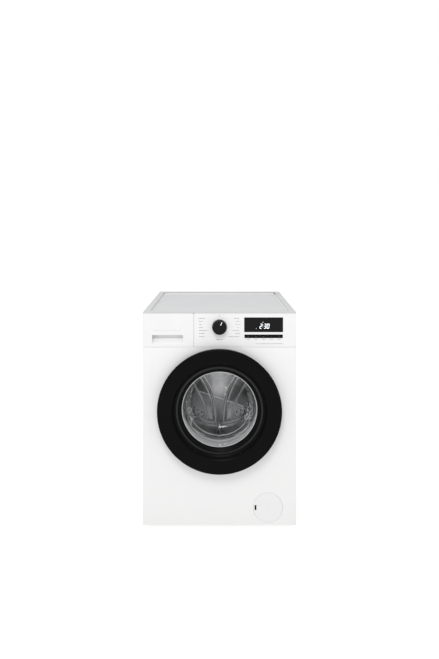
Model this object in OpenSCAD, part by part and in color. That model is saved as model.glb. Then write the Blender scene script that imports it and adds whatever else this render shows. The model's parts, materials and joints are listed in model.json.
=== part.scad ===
// Front loading washing machine: cabinet, fascia, door, drawer, floating tub, drum, drive and pump.
// Front faces -Y, Z is up, and the origin is the middle of the footprint on the floor. Millimetres.

/* [Cabinet] */
// Width of the cabinet
body_w = 597; // [590:1:604]
// Depth from the front panel to the rear of the cabinet
body_d = 527; // [525:1:545]
// Height from the floor to the top of the worktop rim
body_h = 845; // [842:1:852]
// Height of the cabinet above the floor
foot_h = 20; // [16:1:24]
// Thickness of the steel sheet
sheet = 1.2; // [0.8:0.1:1.6]
// Height of the joint between the front panel and the fascia
fascia_z = 711; // [708:1:714]

/* [Door] */
// Height of the door's middle
door_z = 472; // [466:1:476]
// Outer radius of the door ring
door_r = 238.5; // [236:0.5:240]
// How far the door stands out from the front panel
door_proud = 35; // [34:0.5:38]
// Radius of the clear glass at the front
glass_r = 145; // [144:0.5:148]
// How far the glass bowl reaches behind the front panel
bowl_depth = 96; // [80:1:104]

/* [Drawer] */
// Width of the detergent drawer front
drawer_w = 198; // [190:1:200]
// Depth of the drawer tray
tray_d = 232; // [200:1:236]

/* [Controls] */
// Radius of the program knob
knob_r = 29.3; // [26:0.1:32]
// Height of the knob's middle
knob_z = 789; // [788:1:796]
// Width of the display window and of the key row below it
display_w = 150; // [140:1:152]

/* [Tub and drum] */
// Inner radius of the tub
tub_r = 258; // [257:1:260]
// Inner radius of the drum
drum_r = 239; // [234:1:240]
// Length of the drum
drum_l = 304; // [290:1:306]

/* [Drive] */
// Radius of the drum pulley under the belt
pulley_r = 145; // [130:1:150]
// Radius of the motor pulley under the belt
pinion_r = 10; // [9:1:12]
// Height of the motor shaft
motor_z = 115; // [112:1:118]

/* [Pump] */
// Radius of the round filter cover
cover_r = 57; // [54:1:58]
// Distance of the filter cover from the middle of the machine
cover_x = 187.6; // [184:0.1:190]
// Height of the filter cover's middle
cover_z = 89; // [87:1:92]

/* [Hidden] */
$fn = 96;

// Paint and plastic
white = [0.93, 0.93, 0.92];
grey = [0.55, 0.56, 0.58];
black = [0.05, 0.05, 0.05];
steel = [0.75, 0.76, 0.78];
zinc = [0.65, 0.66, 0.68];
tub_grey = [0.72, 0.73, 0.74];
rubber_grey = [0.42, 0.43, 0.45];
concrete = [0.62, 0.61, 0.58];
smoke = [0.35, 0.37, 0.4, 0.35];

// The cabinet's faces
half_w = body_w / 2;
front_y = door_proud - (body_d + door_proud) / 2;
rear_y = front_y + body_d;
inner_x = half_w - sheet;
gap = 1.4;
cut = 1;
corner_steps = 5;
corner_r = 5;
fit = 0.05;

// The worktop and the fascia
rim_w = 25;
rim_front = 40;
rim_z = body_h - 20;
rim_edge = 3;
fascia_top = body_h - rim_edge - 0.4;
fascia_left = -half_w + drawer_w + 2;
fascia_d = 24;
skin = 2.5;

// The suspended group
tub_wall = 4;
tub_out = tub_r + tub_wall;
tub_y = front_y + 72;
tub_split = front_y + 250;
tub_back = front_y + 430;
mouth_r = 163;
drum_y = front_y + 95;
drum_back = drum_y + drum_l;
hub_r = 40;
shaft_r = 12.5;
hub_end = front_y + 458;
pulley_y = front_y + 470;
belt_w = 12;
belt_t = 2.5;
spring_x = 240;
spring_y = front_y + 345;
spring_top = body_h - 47;
spring_low = 646;
damper_x = 150;
damper_y = front_y + 300;

// Openings in the cabinet
port_r = 166;
latch_x = 205;
inlet_x = -150;
inlet_z = 775;
inlet_hole_r = 17;
outlet_x = 245;
outlet_z = 740;
outlet_hole_r = 16;
gland_x = 245;
gland_z = 778;
gland_hole_r = 8;
bolt_x = 200;
bolt_rows = [250, 560];
bolt_hole_r = 9;
screw_x = half_w - 16;
screw_rows = [60, 425];
screw_r = 2.2;

// The feet
foot_x = 255;
foot_front = front_y + 55;
foot_rear = rear_y - 60;
foot_stem = 5;
foot_pad_r = 21;

// The hinge, whose pin stands just inside the door's left edge
hinge_x = -door_r + 9.5;
hinge_y = front_y - 18;
hinge_pin_r = 3;
hinge_half = 42;
ear_h = 9;

// The drawer, with the grip pocket in its front
drawer_mid = -half_w + drawer_w / 2;
tray_w = drawer_w - 16;
tray_x0 = -half_w + 9;
tray_x1 = tray_x0 + tray_w;
tray_z0 = fascia_z + 33;
tray_z1 = fascia_z + 86;
tray_y0 = front_y + 26;
tray_y1 = tray_y0 + tray_d;
house_gap = 1;
house_wall = 2.5;
grip_x0 = drawer_mid - 61;
grip_x1 = drawer_mid + 58;
grip_z0 = fascia_z + 11;
grip_z1 = fascia_z + 47;

// The display, the keys and the knob
display_x = 171;
display_h = 56.4;
display_z = 797.5;
key_count = 5;
key_pitch = display_w / key_count;
key_h = 13.4;
key_z = 752.8;
key_d = 7;
knob_proud = 20;
spindle_r = 3;

// The pump, on the axis of the filter cover
pump_y = front_y + 24;
pump_r = 32;
volute_y = front_y + 96;

// A block between two corners
module block(x0, x1, y0, y1, z0, z1) {
    translate([x0, y0, z0]) cube([x1 - x0, y1 - y0, z1 - z0]);
}

// A rectangle with round corners, about its middle
module round_rect(w, h, r) {
    polygon([for (i = [0:3]) for (k = [0:corner_steps])
        let (a = 90 * (i + k / corner_steps),
            sx = (i == 0 || i == 3) ? 1 : -1,
            sy = i < 2 ? 1 : -1)
        [sx * (w / 2 - r) + r * cos(a), sy * (h / 2 - r) + r * sin(a)]]);
}

// A flat shape in X and Z, extruded from y0 to y1
module slab_y(y0, y1) {
    translate([0, y1, 0]) rotate([90, 0, 0]) linear_extrude(y1 - y0) children();
}

// A flat shape in Y and Z, extruded from x0 to x1
module slab_x(x0, x1) {
    translate([x0, 0, 0]) rotate([90, 0, 90]) linear_extrude(x1 - x0) children();
}

// Children built along Z, laid along Y through x and z, from y
module along_y(x, y, z) {
    translate([x, y, z]) rotate([-90, 0, 0]) children();
}

// A rod along Y from y0 to y1
module rod_y(x, z, r, y0, y1) {
    along_y(x, y0, z) cylinder(r = r, h = y1 - y0);
}

// A ring along Y from y0 to y1
module ring_y(x, z, r_out, r_in, y0, y1) {
    difference() {
        rod_y(x, z, r_out, y0, y1);
        rod_y(x, z, r_in, y0 - cut, y1 + cut);
    }
}

// An outline of [radius, y] turned about the axis along Y through x and z
module turned_y(x, z, outline) {
    along_y(x, 0, z) rotate_extrude() polygon(outline);
}

function unit(v) = v / norm(v);

// A smooth curve through hand-set points
function spline_point(p, i, t) =
    let (a = p[max(i - 1, 0)], b = p[i], c = p[i + 1], d = p[min(i + 2, len(p) - 1)])
    0.5 * (2 * b + (c - a) * t + (2 * a - 5 * b + 4 * c - d) * t * t
        + (3 * b - a - 3 * c + d) * t * t * t);
function smooth_path(p, steps) = concat(
    [for (i = [0:len(p) - 2]) for (k = [0:steps - 1]) spline_point(p, i, k / steps)],
    [p[len(p) - 1]]);

// A solid tube along a path, with radii r[i] and flat ends
module swept(path, r, sides, side_dir) {
    n = len(path);
    rings = [for (i = [0:n - 1])
        let (t = unit(path[min(i + 1, n - 1)] - path[max(i - 1, 0)]),
            u = unit(cross(t, side_dir)),
            v = cross(t, u),
            radius = is_list(r) ? r[i] : r)
        for (k = [0:sides - 1])
            path[i] + radius * (cos(360 * k / sides) * u + sin(360 * k / sides) * v)];
    walls = [for (i = [0:n - 2]) for (k = [0:sides - 1]) for (half = [0, 1])
        let (m = (k + 1) % sides, a = i * sides, b = a + sides)
        half == 0 ? [a + k, b + k, b + m] : [a + k, b + m, a + m]];
    start_cap = [[for (k = [0:sides - 1]) k]];
    end_cap = [[for (k = [sides - 1:-1:0]) (n - 1) * sides + k]];
    polyhedron(points = rings, faces = concat(start_cap, walls, end_cap), convexity = 8);
}

// Two steel sides with inward flanges at the front, the rear and the top
module cabinet_shell() {
    color(white) difference() {
        block(-half_w, half_w, front_y + 16, rear_y, foot_h, rim_z);
        block(-inner_x, inner_x, front_y, rear_y - 14, foot_h - cut, rim_z + cut);
        block(-inner_x + 24, inner_x - 24, rear_y - 20, rear_y + cut, foot_h + 30, rim_z - 30);
        block(-inner_x, inner_x, rear_y - 14 - cut, rear_y - sheet, foot_h - cut, rim_z + cut);
        block(-half_w - cut, half_w + cut, front_y, front_y + fascia_d + 0.4, fascia_z, rim_z + cut);
        for (s = [-1, 1]) for (z = screw_rows)
            rod_y(s * screw_x, z, 2 * screw_r, rear_y - 10, rear_y + cut);
    }
}

// The sheet steel back with its stiffening dish and service holes
module rear_panel() {
    w = inner_x - 4;
    color(zinc) difference() {
        union() {
            slab_y(rear_y - sheet * 2 - 0.2, rear_y - sheet - 0.2)
                translate([0, 425]) round_rect(2 * w, 770, 8);
            ring_y(0, door_z - 60, 172, 166, rear_y - 10, rear_y - sheet - 0.2);
        }
        for (s = [-1, 1]) for (z = screw_rows)
            rod_y(s * screw_x, z, screw_r + 0.1, rear_y - 8, rear_y);
        rod_y(inlet_x, inlet_z, inlet_hole_r, rear_y - 20, rear_y + cut);
        rod_y(outlet_x, outlet_z, outlet_hole_r, rear_y - 20, rear_y + cut);
        rod_y(gland_x, gland_z, gland_hole_r, rear_y - 20, rear_y + cut);
        for (s = [-1, 1]) for (z = bolt_rows)
            rod_y(s * bolt_x, z, bolt_hole_r, rear_y - 20, rear_y + cut);
        for (s = [-1, 1]) for (k = [0:5])
            translate([s * 120, rear_y - 8, 120 + k * 9]) cube([60, 20, 3], center = true);
    }
}

// The steel front with the port hole's flange, the filter opening and the latch slot
module front_panel() {
    z0 = foot_h + 1;
    z1 = fascia_z - gap;
    color(white) difference() {
        union() {
            difference() {
                translate([0, 0, z0]) linear_extrude(z1 - z0)
                    translate([0, front_y + 30]) round_rect(body_w, 60, corner_r);
                translate([0, 0, z0 + sheet]) linear_extrude(z1 - z0 - 2 * sheet)
                    translate([0, front_y + 30 + sheet]) round_rect(2 * inner_x, 60, corner_r - sheet);
                block(-half_w - cut, half_w + cut, front_y + 15.6, front_y + 62, z0 - cut, z1 + cut);
            }
            turned_y(0, door_z, [[port_r, front_y], [port_r + sheet + 6, front_y],
                [port_r + sheet + 6, front_y + sheet], [port_r + sheet, front_y + sheet],
                [port_r + sheet, front_y + 12], [port_r, front_y + 12]]);
        }
        rod_y(0, door_z, port_r, front_y - cut, front_y + 13);
        rod_y(cover_x, cover_z, cover_r + 0.6, front_y - cut, front_y + 14);
        block(latch_x - 8, latch_x + 12, front_y - cut, front_y + 5, door_z - 12, door_z + 12);
    }
}

// The moulded floor tray with sockets for feet and dampers
module base_frame() {
    z0 = foot_h + 1.6;
    y0 = front_y + 17;
    y1 = rear_y - 16;
    w = inner_x - 0.4;
    color(grey) difference() {
        union() {
            block(-w, w, y0, y1, z0, z0 + 36);
            for (s = [-1, 1])
                translate([s * damper_x, damper_y, z0]) cylinder(r = 20, h = 44);
        }
        difference() {
            block(-w + 4, w - 4, y0 + 4, y1 - 4, z0 + 4, z0 + 40);
            for (s = [-1, 1]) {
                for (y = [foot_front, foot_rear])
                    block(s * foot_x - 28, s * foot_x + 28, y - 30, y + 30, z0, z0 + 36);
                translate([s * damper_x, damper_y, z0]) cylinder(r = 20, h = 44);
            }
            block(-w, w, -4, 4, z0, z0 + 30);
        }
        for (s = [-1, 1]) {
            for (y = [foot_front, foot_rear])
                translate([s * foot_x, y, z0 - cut]) cylinder(r = foot_stem + fit, h = 40);
            translate([s * damper_x, damper_y, z0 + 8]) cylinder(r = 12 + fit, h = 40);
        }
        block(-90, 90, -100, 60, z0 - cut, z0 + 6);
        block(cover_x - 41, cover_x + 39, y0 - cut, front_y + 172, z0 + 4, z0 + 40);
    }
}

// The two rails across the top: one behind the fascia, one that carries the springs
module cross_rails() {
    color(zinc) {
        difference() {
            block(-inner_x + 0.2, inner_x - 0.2, front_y + 30, front_y + 56, rim_z - 16, rim_z - 0.2);
            block(-inner_x + 3, inner_x - 3, front_y + 31.5, front_y + 57, rim_z - 17, rim_z - 1.7);
        }
        difference() {
            block(-inner_x + 0.2, inner_x - 0.2, spring_y - 16, spring_y + 16, spring_top, rim_z - 0.2);
            block(-inner_x + 3, inner_x - 3, spring_y - 14.5, spring_y + 14.5,
                spring_top + 1.5, rim_z + cut);
            for (s = [-1, 1])
                translate([s * spring_x, spring_y, spring_top - cut]) cylinder(r = 5, h = 5);
        }
    }
}

// The laminated board that drops into the worktop frame
module worktop_panel() {
    w = body_w - 2 * rim_w - 0.6;
    d = body_d - rim_front - rim_w - 0.6;
    color(white) translate([0, front_y + rim_front + 0.3 + d / 2, body_h - 17])
        linear_extrude(12) round_rect(w, d, 6);
}

// The moulded rim of the worktop, notched at the front for the fascia
module worktop_frame() {
    mid_y = (front_y + rear_y) / 2;
    w = body_w - 2 * rim_w;
    d = body_d - rim_front - rim_w;
    pocket_y = front_y + rim_front + d / 2;
    color(white) difference() {
        translate([0, mid_y, rim_z]) linear_extrude(body_h - rim_z)
            round_rect(body_w, body_d, corner_r);
        translate([0, pocket_y, body_h - 17]) linear_extrude(20) round_rect(w, d, 6);
        translate([0, pocket_y + 8, rim_z - cut]) linear_extrude(10) round_rect(w - 40, d - 56, 6);
        block(-half_w - cut, half_w + cut, front_y - cut, front_y + 30, rim_z - cut, body_h - rim_edge);
    }
}

// The control fascia: a deep moulding with wells for the display, the keys and the knob
module control_fascia() {
    z0 = fascia_z + gap;
    mid_x = (fascia_left + half_w) / 2;
    mid_z = (z0 + fascia_top) / 2;
    w = half_w - fascia_left;
    h = fascia_top - z0;
    color(white) difference() {
        union() {
            difference() {
                slab_y(front_y, front_y + fascia_d)
                    translate([mid_x, mid_z]) round_rect(w, h, 3);
                slab_y(front_y + skin, front_y + fascia_d + cut)
                    translate([mid_x, mid_z]) round_rect(w - 2 * skin, h - 2 * skin, 2);
            }
            rod_y(0, knob_z, 12, front_y + 1, front_y + 18);
            slab_y(front_y + 1, front_y + 10)
                translate([display_x, display_z]) round_rect(display_w + 6, display_h + 6, 3);
            slab_y(front_y + 1, front_y + 14)
                translate([display_x, key_z]) round_rect(display_w + 6, key_h + 6, 3);
        }
        rod_y(0, knob_z, spindle_r + fit, front_y - cut, front_y + 20);
        slab_y(front_y - cut, front_y + 3.2)
            translate([display_x, display_z]) round_rect(display_w + 0.8, display_h + 0.8, 2);
        slab_y(front_y - cut, front_y + 15)
            translate([display_x, display_z]) round_rect(display_w - 16, display_h - 16, 2);
        for (k = [0:key_count - 1])
            slab_y(front_y - cut, front_y + 15)
                translate([key_x(k), key_z]) round_rect(key_pitch - 1, key_h + 0.8, 1);
    }
}

function key_x(k) = display_x + (k - (key_count - 1) / 2) * key_pitch;

// The gloss black window over the display
module display_window() {
    color(black) slab_y(front_y + 0.1, front_y + 3.2)
        translate([display_x, display_z]) round_rect(display_w, display_h, 1.6);
}

// The circuit board with its display module, key switches, relays and knob encoder
module control_board() {
    y = front_y + 26;
    color("darkgreen") block(-60, 262, y, y + 1.6, 738, 826);
    color(black) block(-14, 14, y - 5, y, knob_z - 14, knob_z + 14);
    color(smoke) slab_y(front_y + 12, y)
        translate([display_x, display_z]) round_rect(display_w - 20, display_h - 20, 2);
    color(grey) for (k = [0:key_count - 1])
        block(key_x(k) - 3, key_x(k) + 3, y - 6, y, key_z - 3, key_z + 3);
    color(black) for (k = [0:3])
        block(-46 + k * 34, -22 + k * 34, y + 1.6, y + 18, 748, 766);
}

// The water box round the drawer, with its spout and its inlet nozzle
module drawer_housing() {
    x0 = tray_x0 - house_gap;
    x1 = tray_x1 + house_gap;
    z0 = tray_z0 - house_gap;
    z1 = tray_z1 + 3;
    y1 = tray_y1 + 4;
    t = house_wall;
    color(tub_grey) difference() {
        union() {
            block(x0 - t, x1 + t, tray_y0 - 1, y1 + t, z0 - t, z1 + t);
            rod_y(inlet_x, z1 - 18, 10, y1, y1 + 22);
            translate([spout_x, spout_y, spout_z]) cylinder(r = 19, h = z0 - t - spout_z + 1);
        }
        block(x0, x1, tray_y0 - 2, y1, z0, z1);
        rod_y(inlet_x, z1 - 18, 7, y1 - cut, y1 + 23);
        translate([spout_x, spout_y, spout_z - cut]) cylinder(r = 15, h = 30);
    }
}

spout_x = -190;
spout_y = front_y + 210;
spout_z = 727;
hose_low = 678;
nozzle_z = tray_z1 - 15;
nozzle_y = tray_y1 + 26;

// The double water valve: a threaded inlet, a body and two coils
module inlet_valve() {
    color(white) {
        difference() {
            union() {
                rod_y(inlet_x, inlet_z, 13.2, rear_y - 24, rear_y - 0.5);
                rod_y(inlet_x, inlet_z, 16, rear_y - 32, rear_y - 16);
                block(inlet_x - 22, inlet_x + 22, rear_y - 62, rear_y - 30, inlet_z - 16, inlet_z + 16);
                rod_y(inlet_x, inlet_z, 7, rear_y - 76, rear_y - 60);
            }
            rod_y(inlet_x, inlet_z, 9, rear_y - 40, rear_y + cut);
            rod_y(inlet_x, inlet_z, 4.5, rear_y - 78, rear_y - 30);
        }
    }
    color("royalblue") for (s = [-1, 1])
        translate([inlet_x + s * 12, rear_y - 46, inlet_z + 16]) cylinder(r = 10, h = 26);
}

// The hose from the valve to the drawer housing
module inlet_hose() {
    valve_y = rear_y - 76.3;
    bend_x = inlet_x + 3;
    route = [[inlet_x, valve_y, inlet_z], [inlet_x, valve_y - 12, inlet_z], [inlet_x, valve_y - 24, inlet_z],
        [bend_x, valve_y - 58, inlet_z], [bend_x, nozzle_y + 56, nozzle_z + 2],
        [inlet_x, nozzle_y + 26, nozzle_z], [inlet_x, nozzle_y + 14, nozzle_z],
        [inlet_x, nozzle_y + 0.3, nozzle_z]];
    color(rubber_grey) swept(smooth_path(route, 6), 9, 10, [1, 0, 0]);
}

// The bellows hose from the drawer housing down to the tub
module dispenser_hose() {
    color(rubber_grey) {
        translate([spout_x, spout_y, hose_low]) difference() {
            cylinder(r = 22, h = spout_z - hose_low);
            translate([0, 0, -cut]) cylinder(r = 17, h = 80);
        }
        for (k = [0:4])
            translate([spout_x, spout_y, hose_low + 6 + k * 8]) rotate_extrude()
                polygon([[21.5, 0], [25, 1.5], [25, 2.5], [21.5, 4]]);
    }
}

// The rubber bellows between the port hole and the tub's mouth
module door_gasket() {
    y0 = front_y + 2.5;
    y1 = tub_y - 1.5;
    color(rubber_grey) turned_y(0, door_z, [[152, y0 + 6], [152, y0 + 9], [160, y0 + 12],
        [161, y0 + 38], [151, y0 + 46], [151, y1], [160, y1], [160, y1 - 3], [155, y1 - 3],
        [155, y0 + 49], [165, y0 + 40], [164, y0 + 12], [164, y0], [160, y0], [160, y0 + 6]]);
}

// The door lock with its slot for the hook
module door_lock() {
    y0 = front_y + sheet + 0.2;
    color(grey) difference() {
        block(latch_x - 22, latch_x + 30, y0, front_y + 34, door_z - 34, door_z + 34);
        block(latch_x - 9, latch_x + 13, y0 - cut, front_y + 32, door_z - 12, door_z + 12);
    }
}

// The filter chamber and the pump's volute on one axis, with the motor behind
module pump_housing() {
    color(tub_grey) difference() {
        union() {
            rod_y(cover_x, cover_z, pump_r + 4, pump_y, volute_y);
            rod_y(cover_x, cover_z, 39, pump_y + 8, pump_y + 13);
            rod_y(cover_x, cover_z, 30, volute_y, volute_y + 26);
            translate([cover_x - 20, volute_y - 30, cover_z + 20]) cylinder(r = 17, h = 32);
            translate([cover_x + 22, volute_y + 12, cover_z + 8]) cylinder(r = 10, h = 44);
            block(cover_x - 38, cover_x + 38, pump_y + 20, volute_y + 10, foot_h + 6, cover_z - 30);
        }
        rod_y(cover_x, cover_z, pump_r, pump_y - cut, volute_y - 4);
        rod_y(cover_x, cover_z, 25, volute_y - 6, volute_y + 22);
        rod_y(cover_x, cover_z, 2.5 + fit, volute_y + 20, volute_y + 27);
        translate([cover_x - 20, volute_y - 30, cover_z + 24]) cylinder(r = 13, h = 30);
        translate([cover_x + 22, volute_y + 12, cover_z + 8]) cylinder(r = 6.5, h = 46);
    }
    color(zinc) difference() {
        block(cover_x - 26, cover_x + 26, volute_y + 26, volute_y + 66, cover_z - 26, cover_z + 26);
        rod_y(cover_x, cover_z, 2.5 + fit, volute_y + 25, volute_y + 50);
    }
}

// The drain hose from the pump up to the elbow at the rear
module drain_hose() {
    x = cover_x + 22;
    y = volute_y + 12;
    route = [[x, y, cover_z + 54], [x, y, cover_z + 62], [x, y, cover_z + 72],
        [x + 36, y + 36, cover_z + 116],
        [outlet_x + 34, y + 60, 260], [outlet_x + 34, y + 90, 600], [outlet_x + 20, rear_y - 110, 710],
        [outlet_x, rear_y - 68, outlet_z], [outlet_x, rear_y - 46, outlet_z],
        [outlet_x, rear_y - 23, outlet_z]];
    color(rubber_grey) swept(smooth_path(route, 5), 10.5, 10, [0, 0.8, -0.6]);
    color(white) difference() {
        rod_y(outlet_x, outlet_z, 9.5, rear_y - 20, rear_y - 0.5);
        rod_y(outlet_x, outlet_z, 7.5, rear_y - 19, rear_y + cut);
    }
}

// The bellows hose from the tub's sump to the pump
module sump_hose() {
    top = [sump_x, sump_y, sump_z - 2.5];
    low = [cover_x - 20, volute_y - 30, cover_z + 54.5];
    route = [top, top - [0, 0, 5], top - [0, 0, 10], top - [-6, 0, 20],
        [sump_x + 40, sump_y - 8, 160], [cover_x - 48, volute_y - 20, 162],
        low + [-5, 0, 20], low + [0, 0, 10], low + [0, 0, 5], low];
    path = smooth_path(route, 6);
    radii = [for (i = [0:len(path) - 1]) (i > 2 && i < len(path) - 3 && i % 2 == 0) ? 22 : 18.5];
    color(rubber_grey) swept(path, radii, 12, [0, 1, 0.1]);
}

sump_x = 60;
sump_y = front_y + 130;
sump_z = door_z - 292;

// The mains lead's gland and its terminal block
module cable_gland() {
    color(black) difference() {
        union() {
            rod_y(gland_x, gland_z, 7.9, rear_y - 16, rear_y - 0.5);
            rod_y(gland_x, gland_z, 12, rear_y - 16, rear_y - 5);
        }
        rod_y(gland_x, gland_z, 4, rear_y - 17, rear_y + cut);
    }
    color(grey) block(gland_x - 20, gland_x + 20, rear_y - 60, rear_y - 16, gland_z - 14, gland_z + 14);
}

// Two hanging springs with hooked ends
module suspension_springs() {
    turns = 13;
    coil_r = 11;
    wire_r = 1.8;
    low = spring_low + 14;
    high = spring_top - 10;
    steps = 12;
    coil = [for (i = [0:turns * steps])
        [coil_r * cos(360 * i / steps), coil_r * sin(360 * i / steps),
            low + (high - low) * i / (turns * steps)]];
    hook_top = [[coil_r, 1, high + 3], [6, 3, high + 7], [0, 0, high + 11], [0, 0, spring_top + 6]];
    hook_low = [[0, 0, spring_low - 1], [0, 0, low - 9], [6, -3, low - 6], [coil_r, -1, low - 3]];
    color(steel) for (s = [-1, 1])
        translate([s * spring_x, spring_y, 0])
            swept(concat(hook_low, coil, hook_top), wire_r, 6, [0, 0, 1.0001] + [0.02, 0.01, 0]);
}

// The two friction dampers' cylinders, standing in the floor tray
module damper_cylinders() {
    color(black) for (s = [-1, 1])
        translate([s * damper_x, damper_y, foot_h + 1.6 + 8]) difference() {
            union() {
                cylinder(r = 12, h = 130);
                translate([0, 0, 120]) cylinder(r = 15, h = 14);
            }
            translate([0, 0, 10]) cylinder(r = 6 + fit, h = 130);
        }
}

// The pan head screws of the rear panel
module case_screws() {
    color(steel) for (s = [-1, 1]) for (z = screw_rows)
        translate([s * screw_x, 0, z]) {
            rod_y(0, 0, screw_r, rear_y - 8, rear_y - sheet);
            along_y(0, rear_y - sheet - 0.15, 0) cylinder(r1 = 4, r2 = 3, h = 1.05);
        }
}

// The fixed half of the hinge: a plate on the front panel and two ears
module hinge_bracket() {
    color(zinc) difference() {
        union() {
            block(hinge_x + 2, hinge_x + 40, front_y - 3.5, front_y,
                door_z - hinge_half, door_z + hinge_half);
            for (s = [-1, 1])
                translate([0, 0, door_z + s * (hinge_half - ear_h / 2) - ear_h / 2]) {
                    linear_extrude(ear_h) polygon([[hinge_x + 2, front_y - 1], [hinge_x + 16, front_y - 1],
                        [hinge_x + 5, hinge_y - 3], [hinge_x + 1, hinge_y + 3]]);
                    translate([hinge_x, hinge_y, 0]) cylinder(r = 5.5, h = ear_h);
                }
        }
        translate([hinge_x, hinge_y, 0]) cylinder(r = hinge_pin_r, h = 900);
        for (s = [-1, 1])
            rod_y(hinge_x + 28, door_z + s * 24, 2.6, front_y - 10, front_y + cut);
    }
}

// The hinge pin, pressed into the bracket's ears
module hinge_pin() {
    color(steel) translate([hinge_x, hinge_y, door_z - hinge_half - 1])
        cylinder(r = hinge_pin_r, h = 2 * hinge_half + 2);
}

// The moving half of the hinge: a knuckle and a leaf screwed in the door
module hinge_arm() {
    h = 2 * (hinge_half - ear_h) - 1;
    color(zinc) difference() {
        union() {
            translate([hinge_x, hinge_y, door_z - h / 2]) cylinder(r = 5.5, h = h);
            block(hinge_x, hinge_x + 44, hinge_y - 5, hinge_y - 1, door_z - h / 2, door_z + h / 2);
        }
        translate([hinge_x, hinge_y, 0]) cylinder(r = hinge_pin_r + fit, h = 900);
        for (s = [-1, 1])
            rod_y(hinge_x + 34, door_z + s * 20, 2.6, hinge_y - 10, hinge_y + 10);
    }
}

// The room that the hinge needs at the door's left edge
module hinge_room() {
    block(hinge_x - 20, hinge_x + 7.5, front_y - 25.5, front_y + cut,
        door_z - hinge_half - 3, door_z + hinge_half + 3);
    block(hinge_x - 5, hinge_x + 46, hinge_y - 6.5, front_y + cut,
        door_z - hinge_half - 3, door_z + hinge_half + 3);
}

// The black outer ring of the door
module door_bezel() {
    f = front_y - door_proud;
    color(black) difference() {
        turned_y(0, door_z, [[door_r - 3, front_y - 7], [door_r - 1, front_y - 5], [door_r, front_y - 8],
            [door_r, f + 4], [door_r - 1.2, f + 1.2], [door_r - 4, f], [186, f], [181, f + 4],
            [176, f + 13], [171, f + 18], [165, f + 18.4], [161, f + 17.6], [158, f + 19.5],
            [glass_r + 1, front_y - 7], [glass_r + 1, front_y - 4], [glass_r + 4, front_y - 4],
            [160, f + 22.5], [172, f + 21.5], [179, f + 15.5], [184, f + 6.5], [188, f + 3],
            [door_r - 5, f + 3], [door_r - 3, f + 5]]);
        hinge_room();
    }
}

// The grey inner frame behind the ring, which holds the hinge, the hook and the glass
module door_frame() {
    color(grey) difference() {
        union() {
            turned_y(0, door_z, [[glass_r + 17, front_y - 6], [glass_r + 17, front_y - 0.8],
                [door_r - 14, front_y - 0.8], [door_r - 4, front_y - 6.6], [door_r - 3.4, front_y - 12],
                [door_r - 6, front_y - 12], [door_r - 7, front_y - 8], [door_r - 16, front_y - 3.4],
                [glass_r + 22, front_y - 3.4], [glass_r + 22, front_y - 6]]);
            for (s = [-1, 1])
                block(latch_x - 9, latch_x + 9, front_y - 15, front_y - 2,
                    door_z + s * 13.5 - 3, door_z + s * 13.5 + 3);
        }
        block(latch_x - 8.5, latch_x + 8.5, front_y - 16, front_y + cut, door_z - 10.4, door_z + 10.4);
        translate([latch_x, front_y - 9, door_z - 30]) cylinder(r = 2.5 + fit, h = 60);
        hinge_room();
    }
}

// The glass bowl
module door_glass() {
    b = front_y + bowl_depth;
    color(smoke) difference() {
        turned_y(0, door_z, [[glass_r + 16, front_y - 3.4], [glass_r + 16, front_y + 0.6],
            [glass_r - 5, front_y + 2], [glass_r - 9, front_y + 20], [glass_r - 16, front_y + 50],
            [glass_r - 26, b - 18], [glass_r - 34, b - 7], [glass_r - 48, b], [0, b], [0, b - 5],
            [glass_r - 50, b - 5], [glass_r - 38, b - 11], [glass_r - 31, b - 20],
            [glass_r - 21, front_y + 49], [glass_r - 14, front_y + 18], [glass_r - 9, front_y - 2],
            [glass_r - 4, front_y - 3.4]]);
        hinge_room();
    }
}

// The sprung hook on its own trunnions
module latch_hook() {
    p = front_y - 9;
    color(steel) {
        translate([latch_x, p, door_z - 16]) cylinder(r = 2.5, h = 32);
        slab_z(door_z - 9.5, door_z + 9.5) polygon([[latch_x - 3, p - 4], [latch_x + 3, p - 4],
            [latch_x + 3, front_y + 14], [latch_x + 8, front_y + 18], [latch_x + 2, front_y + 26],
            [latch_x - 3, front_y + 24]]);
    }
}

// A flat shape in X and Y, extruded from z0 to z1
module slab_z(z0, z1) {
    translate([0, 0, z0]) linear_extrude(z1 - z0) children();
}

// The drawer front with its grip pocket, open behind
module drawer_front() {
    z0 = fascia_z + gap;
    h = fascia_top - z0;
    mid_z = (z0 + fascia_top) / 2;
    color(white) difference() {
        union() {
            difference() {
                slab_y(front_y, front_y + 24) translate([drawer_mid, mid_z]) round_rect(drawer_w, h, 3);
                slab_y(front_y + skin, front_y + 24 + cut)
                    translate([drawer_mid, mid_z]) round_rect(drawer_w - 2 * skin, h - 2 * skin, 2);
            }
            block(grip_x0 - skin, grip_x1 + skin, front_y + 1, front_y + 23.4,
                grip_z0 - skin, grip_z1 + skin);
        }
        slab_x(grip_x0, grip_x1) polygon([[front_y - cut, grip_z0], [front_y, grip_z0],
            [front_y + 15, grip_z0 + 14], [front_y + 20, grip_z0 + 24],
            [front_y + 20, grip_z1], [front_y - cut, grip_z1]]);
        slab_y(front_y + 21.8, front_y + 25)
            translate([drawer_mid, (grip_z0 + grip_z1) / 2]) round_rect(90, 20, 3);
    }
}

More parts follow.
